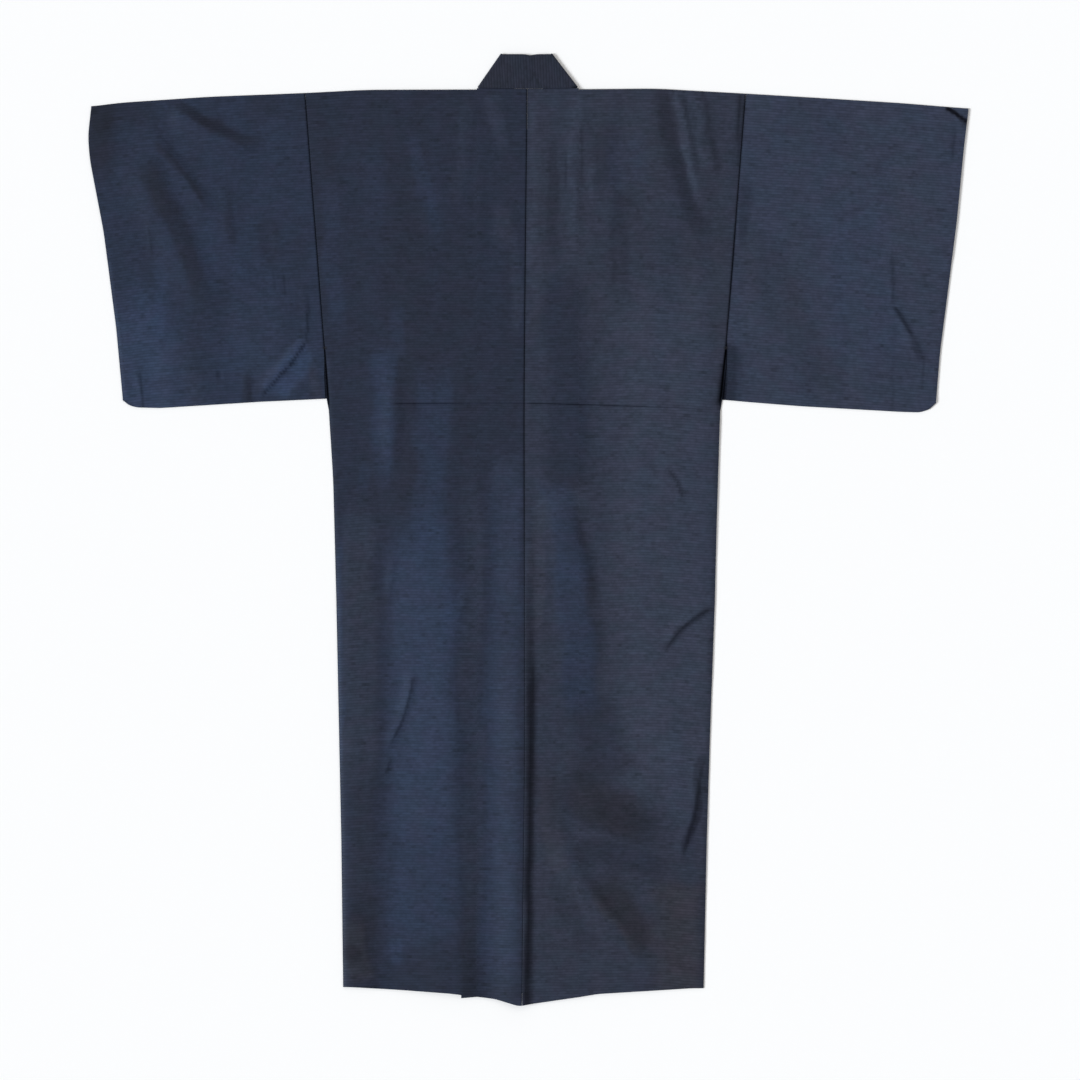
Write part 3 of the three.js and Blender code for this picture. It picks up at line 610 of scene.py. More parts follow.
def wall_mesh(name, outer, inner, cloth, warp, cells=None, wrapped=False):
    """A closed shell between two grids of points, with flat rims round the cells that are there. cloth
    holds each point's place on the flat cloth, in metres, for the weave, and warp its shares of warp and
    of painted shade; the warp shares partly paint sheen and shade."""
    rows, columns = outer.shape[:2]
    across = columns if wrapped else columns - 1
    if cells is None:
        cells = np.ones((rows - 1, across), dtype=bool)

    def numbered(layer, i, j):
        return layer * rows * columns + i * columns + j % columns

    def faces(corners):
        points = np.stack([numbered(layer, i, j) for layer, i, j in corners], 1)
        width = cloth.shape[1]
        places = np.stack([i * width + j for _, i, j in corners], 1)
        return points, places

    def rim(missing, first, second):
        i, j = np.nonzero(cells & missing)
        (ai, aj), (bi, bj) = first, second
        ends = ((0, bi, bj), (0, ai, aj), (1, ai, aj), (1, bi, bj))
        return faces([(layer, i + down, j + aside) for layer, down, aside in ends])

    no_row = np.zeros((1, across), dtype=bool)
    no_column = np.zeros((rows - 1, 1), dtype=bool)
    above = np.vstack([no_row, cells[:-1]])
    below = np.vstack([cells[1:], no_row])
    before = np.roll(cells, 1, 1) if wrapped else np.hstack([no_column, cells[:, :-1]])
    after = np.roll(cells, -1, 1) if wrapped else np.hstack([cells[:, 1:], no_column])
    i, j = np.nonzero(cells)
    around = [(i, j), (i, j + 1), (i + 1, j + 1), (i + 1, j)]
    parts = [
        faces([(0, a, b) for a, b in around]),
        faces([(1, a, b) for a, b in around[::-1]]),
        rim(~above, (0, 0), (0, 1)),
        rim(~after, (0, 1), (1, 1)),
        rim(~below, (1, 1), (1, 0)),
        rim(~before, (1, 0), (0, 0)),
    ]
    quads = np.vstack([points for points, _ in parts])
    places = np.vstack([places for _, places in parts])
    smooth_faces = np.arange(len(quads)) < len(parts[0][0]) + len(parts[1][0])

    points = np.vstack([outer.reshape(-1, 3), inner.reshape(-1, 3)])
    a, b, c, d = (points[quads[:, k]] for k in range(4))
    volume = (a * np.cross(b, c)).sum() + (a * np.cross(c, d)).sum()
    if volume < 0.0:
        quads, places = quads[:, ::-1], places[:, ::-1]
    used, quads = np.unique(quads, return_inverse=True)
    quads = quads.reshape(-1, 4)

    mesh = bpy.data.meshes.new(name)
    mesh.from_pydata(in_frame(points[used]), [], quads)
    mesh.polygons.foreach_set("use_smooth", smooth_faces)
    layer = mesh.uv_layers.new(name="cloth")
    layer.uv.foreach_set("vector", cloth.reshape(-1, 2)[places.ravel()].astype(np.float32).ravel())
    for k, label in enumerate(SHARES):
        shares = mesh.attributes.new(label, "FLOAT", "POINT")
        shares.data.foreach_set("value", np.tile(warp[:, :, k].ravel(), 2)[used].astype(np.float32))
    mesh.update()
    return add_object(name, mesh)


def in_frame(points):
    """Garment millimetres to frame metres."""
    return points * MM + np.array(GARMENT_START)


def add_object(name, mesh):
    piece = bpy.data.objects.new(name, mesh)
    bpy.context.scene.collection.objects.link(piece)
    return piece


def running_length(points):
    """Length along the first axis of a grid of points, from its first row."""
    steps = np.linalg.norm(np.diff(points, axis=0), axis=2)
    return np.vstack([np.zeros((1, points.shape[1])), np.cumsum(steps, axis=0)])


def body_grid(side, shell):
    """One body half as a grid: its rows go from the back hem up the back, over the shoulder and down the
    front to the front hem; its columns go from the side edge to the neck and on to the centre seam."""
    width, half_neck = 262.0, 81.0
    outer_shares = steps_with_ends(width, 4.2) / width
    inner_shares = steps_with_ends(half_neck, 4.0)[1:] / half_neck
    shares = np.concatenate([outer_shares, 1.0 + inner_shares])
    neck = len(outer_shares) - 1
    neck_edge = NECK_X[side] + side * SEAM_GAP

    def back_x(share, y):
        edge = side_x(side, y) - side * SEAM_GAP / 2.0
        seam = centre_x(y) + side * SEAM_GAP / 2.0
        outside = lerp(edge, neck_edge, share)
        return np.where(share <= 1.0, outside, lerp(neck_edge, seam, share - 1.0))

    def turn_at(share):
        x = back_x(share, 0.0)
        top, under = back_top(x, shoulder_y(x)), front_under(side, x, shoulder_y(x))
        radius = (top - under) / 2.0
        y = shoulder_y(x) - radius
        return back_x(share, y), y, radius, (top + under) / 2.0

    turn_x, turn_y, radius, height = turn_at(shares)
    neck_share = (back_x(shares, 0.0) - (NECK_LEFT + NECK_RIGHT) / 2.0) / ((NECK_RIGHT - NECK_LEFT) / 2.0)
    neck_line = NECK_Y - SEAM_GAP - NECK_SAG * (1.0 - neck_share ** 2)
    top_y = np.where(shares > 1.0, neck_line, turn_y)

    below_tuck, above_tuck, front_length = 936.0, 500.0, 1425.0
    low_steps = steps_with_ends(below_tuck, 4.3) / below_tuck
    high_steps = steps_with_ends(above_tuck, 4.2)[1:] / above_tuck
    level = np.concatenate([low_steps, 1.0 + high_steps])[:, None]
    guess = back_x(shares, -700.0)
    hem, tuck = hem_y(guess)[None], line(TUCK, guess, 20.0)[None]
    back_y = np.where(level <= 1.0, lerp(hem, tuck, level), lerp(tuck, top_y[None], level - 1.0))
    back_x_grid = back_x(shares[None], back_y)
    top = back_top(back_x_grid, back_y) + tuck_step(back_x_grid, back_y)
    top = top - seam_dip(side, back_x_grid, back_y)

    angle = (np.pi * np.arange(1, 9) / 8.0)[:, None]
    drops = (steps_with_ends(front_length, 24.0)[1:] / front_length)[:, None]
    front_guess = lerp(0.0, -1435.0, drops)
    outer_part = np.minimum(shares, 1.0)[None]
    edge = side_x(side, front_guess) - side * SEAM_GAP / 2.0
    front_x = lerp(edge, panel_inner_x(side, front_guess), outer_part)
    front_y = lerp(np.minimum(turn_y, 0.0)[None], line(FRONT_HEM[side], front_x), drops)
    edge = side_x(side, front_y) - side * SEAM_GAP / 2.0
    front_x = lerp(edge, panel_inner_x(side, front_y), outer_part)
    from_edge = np.abs(front_x - edge)
    # Along the sleeve the front's edge reaches out and is raised, so that the surface doesn't show in the
    # seam and the slit. It passes through the sleeve's lower layer there, by about a millimetre at most.
    sewn = smooth((-12.0 - front_y) / 12.0) * smooth((front_y + 506.0) / 8.0)
    reach = sewn * (1.0 + 2.0 * smooth((SEAM_END - front_y) / SEAM_END_RUN))
    front_x = front_x + side * reach * (1.0 - smooth(from_edge / 20.0))
    lifted = 0.65 * (1.0 - smooth(from_edge / 5.0)) * smooth(drops / 0.02)
    under = front_under(side, front_x, front_y) + lifted

    def layer(depth):
        back = np.stack([back_x_grid, back_y, top - depth], 2)
        reach = radius - depth
        over = np.stack([
            np.broadcast_to(turn_x, (8, len(shares))),
            turn_y + reach * np.sin(angle),
            height + reach * np.cos(angle),
        ], 2)
        front = np.stack([front_x, front_y, under + depth], 2)
        return np.concatenate([back, over, front])

    outer = layer(0.0)
    back_rows = len(level) - 1
    cells = np.ones((len(outer) - 1, len(shares) - 1), dtype=bool)
    cells[back_rows:, neck:] = False
    along = running_length(outer) - running_length(outer)[back_rows]
    cloth = np.stack([outer[:, :, 0], along], 2) * MM
    return outer, layer(shell), cloth, cells


def turned_edge(distance, depth, reach):
    """How far a sewn or folded edge sinks, by the distance from it."""
    return depth * (1.0 - smooth(distance / reach))


def allowance(distance, place, rise=0.3, width=4.0):
    """The low ridge over a seam allowance at its place beside a seam."""
    return rise * np.exp(-((distance - place) / width) ** 2)


def seam_dip(side, x, y):
    """How far the back sinks at its sewn edges. At each seam the piece on the left turns down to the other,
    and below the sleeves the side edge comes down to the front."""
    to_seam = np.abs(x - centre_x(y))
    to_side = np.abs(x - side_x(side, y))
    below = smooth((SEAM_END - y) / SEAM_END_RUN)
    lower = smooth((-500.0 - y) / 30.0)
    if side < 0:
        sewn = turned_edge(to_side, 0.3, 1.5)
        centre = lerp(0.25, 1.1, smooth((y + 860.0) / 300.0)) * turned_edge(to_seam, 1.0, 2.2)
        return lerp(sewn, turned_edge(to_side, 1.0, 6.0), below) + centre
    sewn = turned_edge(to_side, 1.3, 2.6)
    curled = lerp(turned_edge(to_side, 1.9, 9.0), turned_edge(to_side, 1.2, 6.0), lower)
    return turned_edge(to_seam, 0.3, 1.0) - allowance(to_seam, 8.0, 0.25) + lerp(sewn, curled, below)


def slit_gap(side, x, y):
    """How far the upper layer of a sleeve stands off the body below the end of its seam."""
    to_body = np.abs(x - line(SLEEVE_INNER[side], y))
    return side * SLIT[side] * smooth((-402.0 - y) / 70.0) * (1.0 - smooth(to_body / SLEEVE_EASE))


def sleeve_top(side, x, y):
    """Height of a sleeve's back: twice its turning radius with the relief, lower at the cuff and, on the
    left sleeve, turned down to the body at its seam."""
    radius = WALL + LAYER_GAP / 2.0
    bottom_fade = smooth((y - line(SLEEVE_BOTTOM[side], x) - radius) / EDGE_SOFTNESS)
    to_cuff = np.abs(x - line(CUFF[side], y, 12.0))
    to_body = np.abs(x - line(SLEEVE_INNER[side], y))
    sewn = smooth((-262.0 - y) / 20.0)
    top = 2.0 * radius + relief(x, y) * bottom_fade * smooth(to_cuff / EDGE_SOFTNESS)
    top = top - lerp(0.15, 0.9, sewn) * (1.0 - smooth(to_cuff / 6.0)) * smooth((y + 500.0) / 20.0)
    if side < 0:
        top = top - turned_edge(to_body, 1.3, 2.4) * smooth((y + 430.0) / 30.0)
    return top


def sleeve_grid(side, shell):
    """A sleeve as a flat tube: its rows go from the body to the cuff, its columns down the back, round
    the lower edge, up the front and round the shoulder fold."""
    fine = (0.5, 1.2, 2.4, 4.0, 6.0, 8.8)
    width, depth = 350.0, 490.0
    across = steps_with_ends(width, 4.2, fine)[:, None] / width
    down = steps_with_ends(depth, 4.2)[None] / depth
    up = steps_with_ends(depth, 20.0)[None, 1:-1] / depth
    radius = WALL + LAYER_GAP / 2.0

    def plan(share, fall):
        guess = lerp(-10.0, -505.0, fall)
        near = lerp(line(SLEEVE_INNER[side], guess), line(CUFF[side], guess, 12.0), share)
        bottom = line(SLEEVE_BOTTOM[side], near, 5.0) + radius
        y = lerp(shoulder_y(near) - radius, bottom, fall)
        inner = line(SLEEVE_INNER[side], y) + side * SEAM_GAP / 2.0
        return lerp(inner, line(CUFF[side], y, 12.0), share), y

    x, y = plan(across, down)
    x = x + slit_gap(side, x, y)
    top = sleeve_top(side, x, y)
    front_x, front_y = plan(across, 1.0 - up)
    turns = np.pi * np.arange(0, 9)[None] / 8.0
    low_x, low_y = plan(across, 1.0 + 0.0 * turns)
    low_x = low_x + slit_gap(side, low_x, low_y) * (1.0 + np.cos(turns)) / 2.0
    high_x, high_y = plan(across, 0.0 * turns)

    def layer(depth):
        aside, over = (radius - depth) * np.sin(turns), (radius - depth) * np.cos(turns)
        back = np.stack([x, y, top - depth], 2)[:, :-1]
        low = np.dstack([low_x, low_y - aside, np.broadcast_to(radius + over, low_x.shape)])
        front = np.stack([front_x, front_y, np.full_like(front_x, depth)], 2)
        high = np.dstack([high_x, high_y + aside, np.broadcast_to(radius - over, high_x.shape)])
        return np.concatenate([back, low, front, high[:, :-1]], 1)

    outer = layer(0.0)
    closed = np.concatenate([outer, outer[:, :1]], 1)
    along = running_length(closed.transpose(1, 0, 2)).T
    cloth = np.stack([closed[:, :, 0], along], 2) * MM
    return outer, layer(shell), cloth


def overlap_grid(side, shell):
    """An overlap panel: from its point at the collar down to the hem, between its seam and the front
    edge."""
    drops = np.concatenate([
        np.linspace(OVERLAP_TOP, COLLAR_END, 30),
        COLLAR_END + 1.0 + steps_with_ends(744.0, 22.0)[1:],
    ])[:, None]
    width = 148.0
    shares = (steps_with_ends(width, 8.0) / width)[None]
    level = NECK_Y - drops
    seam = overlap_seam_x(side, level)
    on_collar = collar_seam(side, drops)[0] + side * SEAM_GAP
    inner = np.where(drops <= COLLAR_END, on_collar, FRONT_EDGE[side])
    x = lerp(seam, inner, shares)
    hem = line(FRONT_HEM[side], x)
    y = np.where(drops > 700.0, lerp(-697.0, hem, (drops - 700.0) / (drops[-1] - 700.0)), level + 0.0 * x)
    under = front_under(side, x, y)

    def layer(depth):
        return np.stack([x, y, under + depth], 2)

    cloth = np.stack([x, -y], 2) * MM
    return layer(0.0), layer(shell), cloth


def collar_sections(side):
    """Seam and free ends of the collar's sections on one front, slanted with its fold at the neck."""
    drops = np.concatenate([np.linspace(0.0, 60.0, 16), np.linspace(66.0, COLLAR_END, 100)])
    leave = COLLAR_LEAVE[side]
    slant_neck = COLLAR_TOP - NECK_Y - COLLAR_WIDTH * leave / math.hypot(1.0, leave)
    settled = settled_slope(side)
    slant_end = -COLLAR_WIDTH * settled / math.hypot(1.0, settled)
    slant = slant_neck * np.clip(1.0 - drops / COLLAR_SLANT_EASE, 0.0, 1.0)
    slant = slant + slant_end * smooth((drops - 230.0) / (COLLAR_END - 230.0))
    seam = np.stack(collar_place(side, drops, 0.0), 1)
    free = np.stack(collar_place(side, drops - slant, COLLAR_WIDTH), 1)
    return seam, free


def collar_grid():
    """The collar as a strip: its rows are sections from the left front's end, up, over the back of the neck
    and down to the right front's end; its columns go from the seam to the free edge. The strip's thickness
    falls nearly to nothing at both long edges, along an ellipse."""
    edge = COLLAR_WALL / 2.0
    shares = (steps_with_ends(COLLAR_WIDTH, 4.0, (0.12, 0.35, 0.75, 2.0)) / COLLAR_WIDTH)[None]
    inside = np.minimum(shares, 1.0 - shares) * COLLAR_WIDTH
    half = edge * np.sqrt(1.0 - (1.0 - np.minimum(inside / edge, 1.0)) ** 2)
    half = np.maximum(half, 0.04)
    strip_middle = COLLAR_UNDER + edge
    angles = np.pi * np.arange(0, 13) / 12.0

    def run(side):
        """Middle surface and upward normal of the collar on one front, from below the neck to its end."""
        seam, free = collar_sections(side)
        place = lerp(seam[1:, None], free[1:, None], shares[..., None])
        under = front_under(side, place[:, :, 0], place[:, :, 1])
        middle = np.dstack([place, under + edge])
        return middle, np.broadcast_to([0.0, 0.0, -1.0], middle.shape)

    def turn(side):
        """Middle surface and outward normal of the turn about the fold line at one end of the neck."""
        seam, free = (ends[0] for ends in collar_sections(side))
        out = side * np.array([free[1] - seam[1], seam[0] - free[0]]) / np.linalg.norm(free - seam)
        under = front_under(side, seam[:1], seam[1:])[0]
        outer = (strip_middle + edge - under) / 2.0
        shift = np.array([outer / out[0], 0.0])
        place = lerp((seam - shift)[None, None], (free - shift)[None, None], shares[..., None])
        reach = outer - edge
        centre = strip_middle + edge - outer
        normal = np.stack([out[0] * np.sin(angles), out[1] * np.sin(angles), np.cos(angles)], 1)[:, None]
        flat = np.broadcast_to(place, (13, place.shape[1], 2))
        middle = np.dstack([flat, np.full(flat.shape[:2], centre)]) + reach * normal
        return middle, np.broadcast_to(normal, middle.shape)

    left_turn, right_turn = turn(-1), turn(1)
    first, last = left_turn[0][0], right_turn[0][0]
    share = np.linspace(0.0, 1.0, 46)[1:-1, None]
    sag = NECK_SAG * 4.0 * share * (1.0 - share) * (1.0 - shares)
    back = lerp(first[None], last[None], share[..., None])
    back[:, :, 1] -= sag
    back[:, :, 1] -= 1.6 * np.exp(-((share - 0.58) / 0.09) ** 2) * shares ** 3
    wave = soft_noise(back[:, :, 0], back[:, :, 1], 17.0, 40.0, 23)
    back[:, :, 2] += 0.25 * wave * smooth(share / 0.1) * smooth((1.0 - share) / 0.1)
    back_normal = np.broadcast_to([0.0, 0.0, 1.0], back.shape)
    left_run, right_run = run(-1), run(1)
    parts = (left_run, left_turn, (back, back_normal), right_turn, right_run)
    turned = [(places[::-1], normals[::-1]) for places, normals in parts[:2]] + list(parts[2:])
    middle, normal = (np.concatenate(each) for each in zip(*turned))
    outer = middle + normal * half[..., None]
    inner = middle - normal * half[..., None]
    across = np.broadcast_to(shares * COLLAR_WIDTH, middle.shape[:2])
    along = running_length(middle)
    along = along - along[len(left_run[0]) + 13 + len(back) // 2]
    cloth = np.stack([across, along], 2) * MM
    return outer, inner, cloth


def sewn_line(name, x, y, z, turn, length):
    """A row of hand stitches with their middles at the places given: each is a spindle of six sides and
    four rings, laid at its turn in degrees, half sunk in the cloth."""
    turn = math.radians(turn)
    along = np.array([math.cos(turn), math.sin(turn), 0.0])
    across = np.array([-math.sin(turn), math.cos(turn), 0.0])
    angles = 2.0 * np.pi * np.arange(6) / 6.0
    ring = np.cos(angles)[:, None] * across + np.sin(angles)[:, None] * np.array([0.0, 0.0, 1.0])
    share = np.array([0.0, 0.25, 0.75, 1.0])[:, None, None]
    radius = STITCH_RADIUS * np.array([0.2, 1.0, 1.0, 0.2])[:, None, None]
    spindle = (share - 0.5) * length * along + radius * ring
    middles = np.stack(np.broadcast_arrays(x, y, z), -1).reshape(-1, 1, 1, 3)
    points = (middles + spindle).reshape(-1, 3)
    sides = [(6 * r + k, 6 * r + (k + 1) % 6, 6 * r + 6 + (k + 1) % 6, 6 * r + 6 + k)
             for r in range(3) for k in range(6)]
    faces = sides + [tuple(range(5, -1, -1)), tuple(range(18, 24))]
    mesh = bpy.data.meshes.new(name)
    starts = range(0, 24 * len(middles), 24)
    every = [tuple(start + corner for corner in face) for start in starts for face in faces]
    mesh.from_pydata(in_frame(points), [], every)
    mesh.materials.append(thread_material())
    piece = add_object(name, mesh)
    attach(piece, "root")
    return piece


def hem_stitches(side, node):
    """Picks along the back hem, 9 mm above its edge."""
    x = side * (12.0 + np.arange(0.0, 268.0, STITCH_STEP))
    y = hem_y(x) + 9.0
    z = back_top(x, y) + tuck_step(x, y) - seam_dip(side, x, y)
    return sewn_line(f"{node}_hem_stitches", x, y, z, 0.0, 2.4)


def cuff_stitches(side, node):
    """Picks along the cuff, 7 mm from its edge."""
    y = -np.arange(44.0, 486.0, STITCH_STEP)
    x = line(CUFF[side], y, 12.0) - side * 7.0
    return sewn_line(f"{node}_cuff_stitches", x, y, sleeve_top(side, x, y), 90.0, 2.4)


def tack_stitches(side, node):
    """The bar tack that ends the sleeve seam: four long stitches side by side across it."""
    y = -411.0 - 1.1 * np.arange(4.0)
    x = line(SLEEVE_INNER[side], y) - side * 0.5
    height = np.maximum(back_top(x, y), sleeve_top(side, x, y)) + 0.1
    return sewn_line(f"{node}_tack", x, y, height, 0.0, 8.0)


def collar_stitches():
    """Stitches along the back of the neck, just above the seam of the collar."""
    x = np.arange(NECK_LEFT + 10.0, NECK_RIGHT - 10.0, 7.0)
    y = NECK_Y - NECK_SAG * (1.0 - (x / 82.0) ** 2) + 2.6
    return sewn_line("collar_stitches", x, y, COLLAR_UNDER + COLLAR_WALL, 0.0, 3.0)


# Node trees
class Tree:
    """Short calls for laying out one node tree."""

    def __init__(self, tree):
        self.tree = tree

    def node(self, kind, **values):
        made = self.tree.nodes.new(kind)
        for key, value in values.items():
            setattr(made, key, value)
        return made

    def put(self, socket, value):
        """Links a socket to an output, or sets it to a plain value."""
        if isinstance(value, bpy.types.NodeSocket):
            self.tree.links.new(value, socket)
        elif value is not None:
            socket.default_value = value

    def math(self, operation, a, b=None, c=None):
        made = self.node("ShaderNodeMath", operation=operation)
        for socket, value in zip(made.inputs, (a, b, c)):
            self.put(socket, value)
        return made.outputs[0]

    def ramp(self, value, low, high, to_low=0.0, to_high=1.0):
        made = self.node("ShaderNodeMapRange", interpolation_type="SMOOTHSTEP")
        for socket, given in zip(made.inputs, (value, low, high, to_low, to_high)):
            self.put(socket, given)
        return made.outputs[0]

    def vector(self, x, y, z=0.0):
        made = self.node("ShaderNodeCombineXYZ")
        for socket, value in zip(made.inputs, (x, y, z)):
            self.put(socket, value)
        return made.outputs[0]

    def noise(self, vector, scale=1.0, detail=2.0, roughness=0.5):
        made = self.node("ShaderNodeTexNoise")
        self.put(made.inputs["Vector"], vector)
        self.put(made.inputs["Scale"], scale)
        self.put(made.inputs["Detail"], detail)
        self.put(made.inputs["Roughness"], roughness)
        return made.outputs["Fac"]

    def mix(self, share, a, b, blend="MIX"):
        made = self.node("ShaderNodeMix", data_type="RGBA", blend_type=blend)
        self.put(made.inputs[0], share)
        self.put(made.inputs[6], a)
        self.put(made.inputs[7], b)
        return made.outputs[2]


def node_group(name, inputs, outputs):
    """A shader node group with named sockets, or None in the first place if it was made before."""
    if name in bpy.data.node_groups:
        return None, bpy.data.node_groups[name]
    group = bpy.data.node_groups.new(name, "ShaderNodeTree")
    for label, kind in inputs:
        group.interface.new_socket(name=label, in_out="INPUT", socket_type=kind)
    for label, kind in outputs:
        group.interface.new_socket(name=label, in_out="OUTPUT", socket_type=kind)
    return Tree(group), group


def weave_group():
    """Ribs across the cloth: a sine wave along its length that slubs push a little aside, and threads that
    run lighter and darker along each rib, with short thin dark dashes."""
    inputs = [("Cloth", "NodeSocketVector"), ("Rib pitch", "NodeSocketFloat"), ("Slub", "NodeSocketFloat")]
    outputs = [(label, "NodeSocketFloat") for label in ("Height", "Thread", "Tint", "Rib")]
    tree, group = node_group("Ribbed weave", inputs, outputs)
    if tree is None:
        return group
    given = tree.node("NodeGroupInput").outputs
    apart = tree.node("ShaderNodeSeparateXYZ")
    tree.put(apart.inputs[0], given["Cloth"])
    across, along = apart.outputs[0], apart.outputs[1]
    pitch = given["Rib pitch"]
    drift = tree.noise(tree.vector(tree.math("MULTIPLY", across, 14.0), tree.math("MULTIPLY", along, 60.0)))
    slub = tree.math("MULTIPLY", pitch, given["Slub"])
    drift = tree.math("MULTIPLY", tree.math("SUBTRACT", drift, 0.5), slub)
    ribs = tree.math("DIVIDE", tree.math("ADD", along, drift), pitch)
    wave = tree.math("SINE", tree.math("MULTIPLY", ribs, 2.0 * math.pi))
    rib = tree.math("MULTIPLY_ADD", wave, 0.5, 0.5)
    row = tree.math("MULTIPLY", tree.math("FLOOR", tree.math("ADD", ribs, 0.25)), 3.71)
    long = tree.noise(tree.vector(tree.math("MULTIPLY", across, 38.0), row), detail=2.0)
    short = tree.noise(tree.vector(tree.math("MULTIPLY", across, 120.0), row, 9.0), detail=2.0)
    dash = tree.noise(tree.vector(tree.math("MULTIPLY", across, 52.0), row, 17.0), detail=1.0)
    cells = tree.vector(tree.math("MULTIPLY", across, 24.0), tree.math("MULTIPLY", along, 34.0), 41.0)
    tint = tree.noise(cells)
    cells = tree.vector(tree.math("MULTIPLY", across, 900.0), tree.math("MULTIPLY", along, 380.0), 5.0)
    yarn = tree.noise(cells)
    thread = tree.math("ADD", tree.ramp(long, 0.3, 0.7, -0.6, 0.6), tree.ramp(short, 0.3, 0.7, -0.5, 0.5))
    thread = tree.math("SUBTRACT", thread, tree.ramp(dash, 0.6, 0.72))
    tint = tree.ramp(tint, 0.3, 0.7, -1.0, 1.0)
    height = tree.math("MULTIPLY_ADD", thread, 0.2, rib)
    height = tree.math("MULTIPLY_ADD", yarn, 0.35, height)
    done = tree.node("NodeGroupOutput").inputs
    for label, value in (("Height", height), ("Thread", thread), ("Tint", tint), ("Rib", rib)):
        tree.put(done[label], value)
    return group


def thread_group():
    """Colour of changeable silk: its weft with pale, brown and blue warp in their shares, darker between
    the ribs, lighter and darker with each thread, turned a little to plum or to teal, and darkened
    nearly to black by its share of painted shade."""
    inputs = [(label, "NodeSocketColor") for label in ("Weft", "Blue warp", "Pale warp", "Brown warp")]
    floats = ("Blue", "Pale", "Brown", "Shade", "Thread", "Tint", "Rib", "Contrast")
    inputs += [(label, "NodeSocketFloat") for label in floats]
    tree, group = node_group("Thread colours", inputs, [("Color", "NodeSocketColor")])
    if tree is None:
        return group
    given = tree.node("NodeGroupInput").outputs
    colour = tree.mix(given["Pale"], given["Weft"], given["Pale warp"])
    colour = tree.mix(given["Brown"], colour, given["Brown warp"])
    colour = tree.mix(given["Blue"], colour, given["Blue warp"])
    turned = tree.mix(tree.ramp(given["Tint"], -1.0, 1.0), (1.05, 0.98, 1.0, 1.0), (0.95, 1.02, 1.0, 1.0))
    colour = tree.mix(1.0, colour, turned, "MULTIPLY")
    lighter = tree.math("MULTIPLY_ADD", given["Thread"], given["Contrast"], 1.0)
    valley = tree.math("MULTIPLY", tree.ramp(given["Rib"], 0.6, 0.0), given["Contrast"])
    gain = tree.math("MULTIPLY", lighter, tree.math("SUBTRACT", 1.0, valley))
    # Painted shade: the shade share darkens the colour nearly to black
    gain = tree.math("MULTIPLY", gain, tree.math("MULTIPLY_ADD", given["Shade"], -0.97, 1.0))
    colour = tree.mix(1.0, colour, tree.vector(gain, gain, gain), "MULTIPLY")
    tree.put(tree.node("NodeGroupOutput").inputs["Color"], colour)
    return group


def placed(tree, group, **values):
    """A node group placed in a tree, with its inputs set or linked by name."""
    made = tree.node("ShaderNodeGroup")
    made.node_tree = group
    for label, value in values.items():
        tree.put(made.inputs[label.replace("_", " ")], value)
    return made.outputs


def new_material(name):
    material = bpy.data.materials.new(name)
    material.use_nodes = True
    tree = Tree(material.node_tree)
    return material, tree, material.node_tree.nodes["Principled BSDF"]


def rgba(colour, brightness=1.0):
    return (*(brightness * channel for channel in colour), 1.0)


def silk_material(name, brightness=1.0):
    """Ribbed changeable silk: the weave on the cloth's own coordinates, its colours in the shares that the
    mesh carries, which hold painted sheen and painted shade, and a low blue sheen."""
    colours, sizes = bpy.context.scene.kimono_colours, bpy.context.scene.kimono_sizes
    material, tree, shader = new_material(name)
    cloth = tree.node("ShaderNodeUVMap", uv_map="cloth").outputs[0]
    weave = placed(tree, weave_group(), Cloth=cloth, Rib_pitch=sizes.rib_pitch, Slub=1.1)
    shares = {label.capitalize(): tree.node("ShaderNodeAttribute", attribute_name=label).outputs["Fac"]
              for label in SHARES}
    threads = placed(
        tree, thread_group(),
        Weft=rgba(colours.weft, brightness), Blue_warp=rgba(colours.blue_warp, brightness),
        Pale_warp=rgba(colours.pale_warp, brightness), Brown_warp=rgba(colours.brown_warp, brightness),
        Thread=weave["Thread"], Tint=weave["Tint"], Rib=weave["Rib"], Contrast=0.22, **shares,
    )
    tree.put(shader.inputs["Base Color"], threads["Color"])
    tree.put(shader.inputs["Roughness"], tree.ramp(weave["Rib"], 0.0, 1.0, 0.62, 0.48))
    # Painted shade also takes away nearly all of the specular and the sheen where it lies
    tree.put(shader.inputs["Specular IOR Level"], tree.ramp(shares["Shade"], 0.0, 1.0, 0.26, 0.02))
    shader.inputs["Specular Tint"].default_value = (0.7, 0.85, 1.0, 1.0)
    tree.put(shader.inputs["Sheen Weight"], tree.ramp(shares["Shade"], 0.0, 0.7, 0.03, 0.0))
    shader.inputs["Sheen Roughness"].default_value = 0.45
    shader.inputs["Sheen Tint"].default_value = (0.62, 0.72, 1.0, 1.0)
    bump = tree.node("ShaderNodeBump")
    bump.inputs["Strength"].default_value = 1.0
    bump.inputs["Distance"].default_value = 0.00016
    tree.put(bump.inputs["Height"], weave["Height"])
    tree.put(shader.inputs["Normal"], bump.outputs[0])
    return material


def thread_material():
    """Twisted sewing thread, the colour of the weft: slanting plies from a wave on Object coordinates."""
    name = "sewing_thread"
    if name in bpy.data.materials:
        return bpy.data.materials[name]
    material, tree, shader = new_material(name)
    apart = tree.node("ShaderNodeSeparateXYZ")
    tree.put(apart.inputs[0], tree.node("ShaderNodeTexCoord").outputs["Object"])
    slant = tree.math("ADD", apart.outputs[0], apart.outputs[1])
    ply = tree.math("SINE", tree.math("MULTIPLY", slant, 9000.0))
    weft = bpy.context.scene.kimono_colours.weft
    twist = tree.mix(tree.ramp(ply, -1.0, 1.0), rgba(weft, 0.4), rgba(weft, 0.9))
    tree.put(shader.inputs["Base Color"], twist)
    tree.put(shader.inputs["Roughness"], tree.ramp(ply, -1.0, 1.0, 0.7, 0.5))
    bump = tree.node("ShaderNodeBump")
    bump.inputs["Distance"].default_value = 0.0001
    tree.put(bump.inputs["Height"], ply)
    tree.put(shader.inputs["Normal"], bump.outputs[0])
    return material


def finish_cloth(piece, node, material):
    piece.data.materials.append(material)
    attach(piece, "root")
    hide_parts(node)


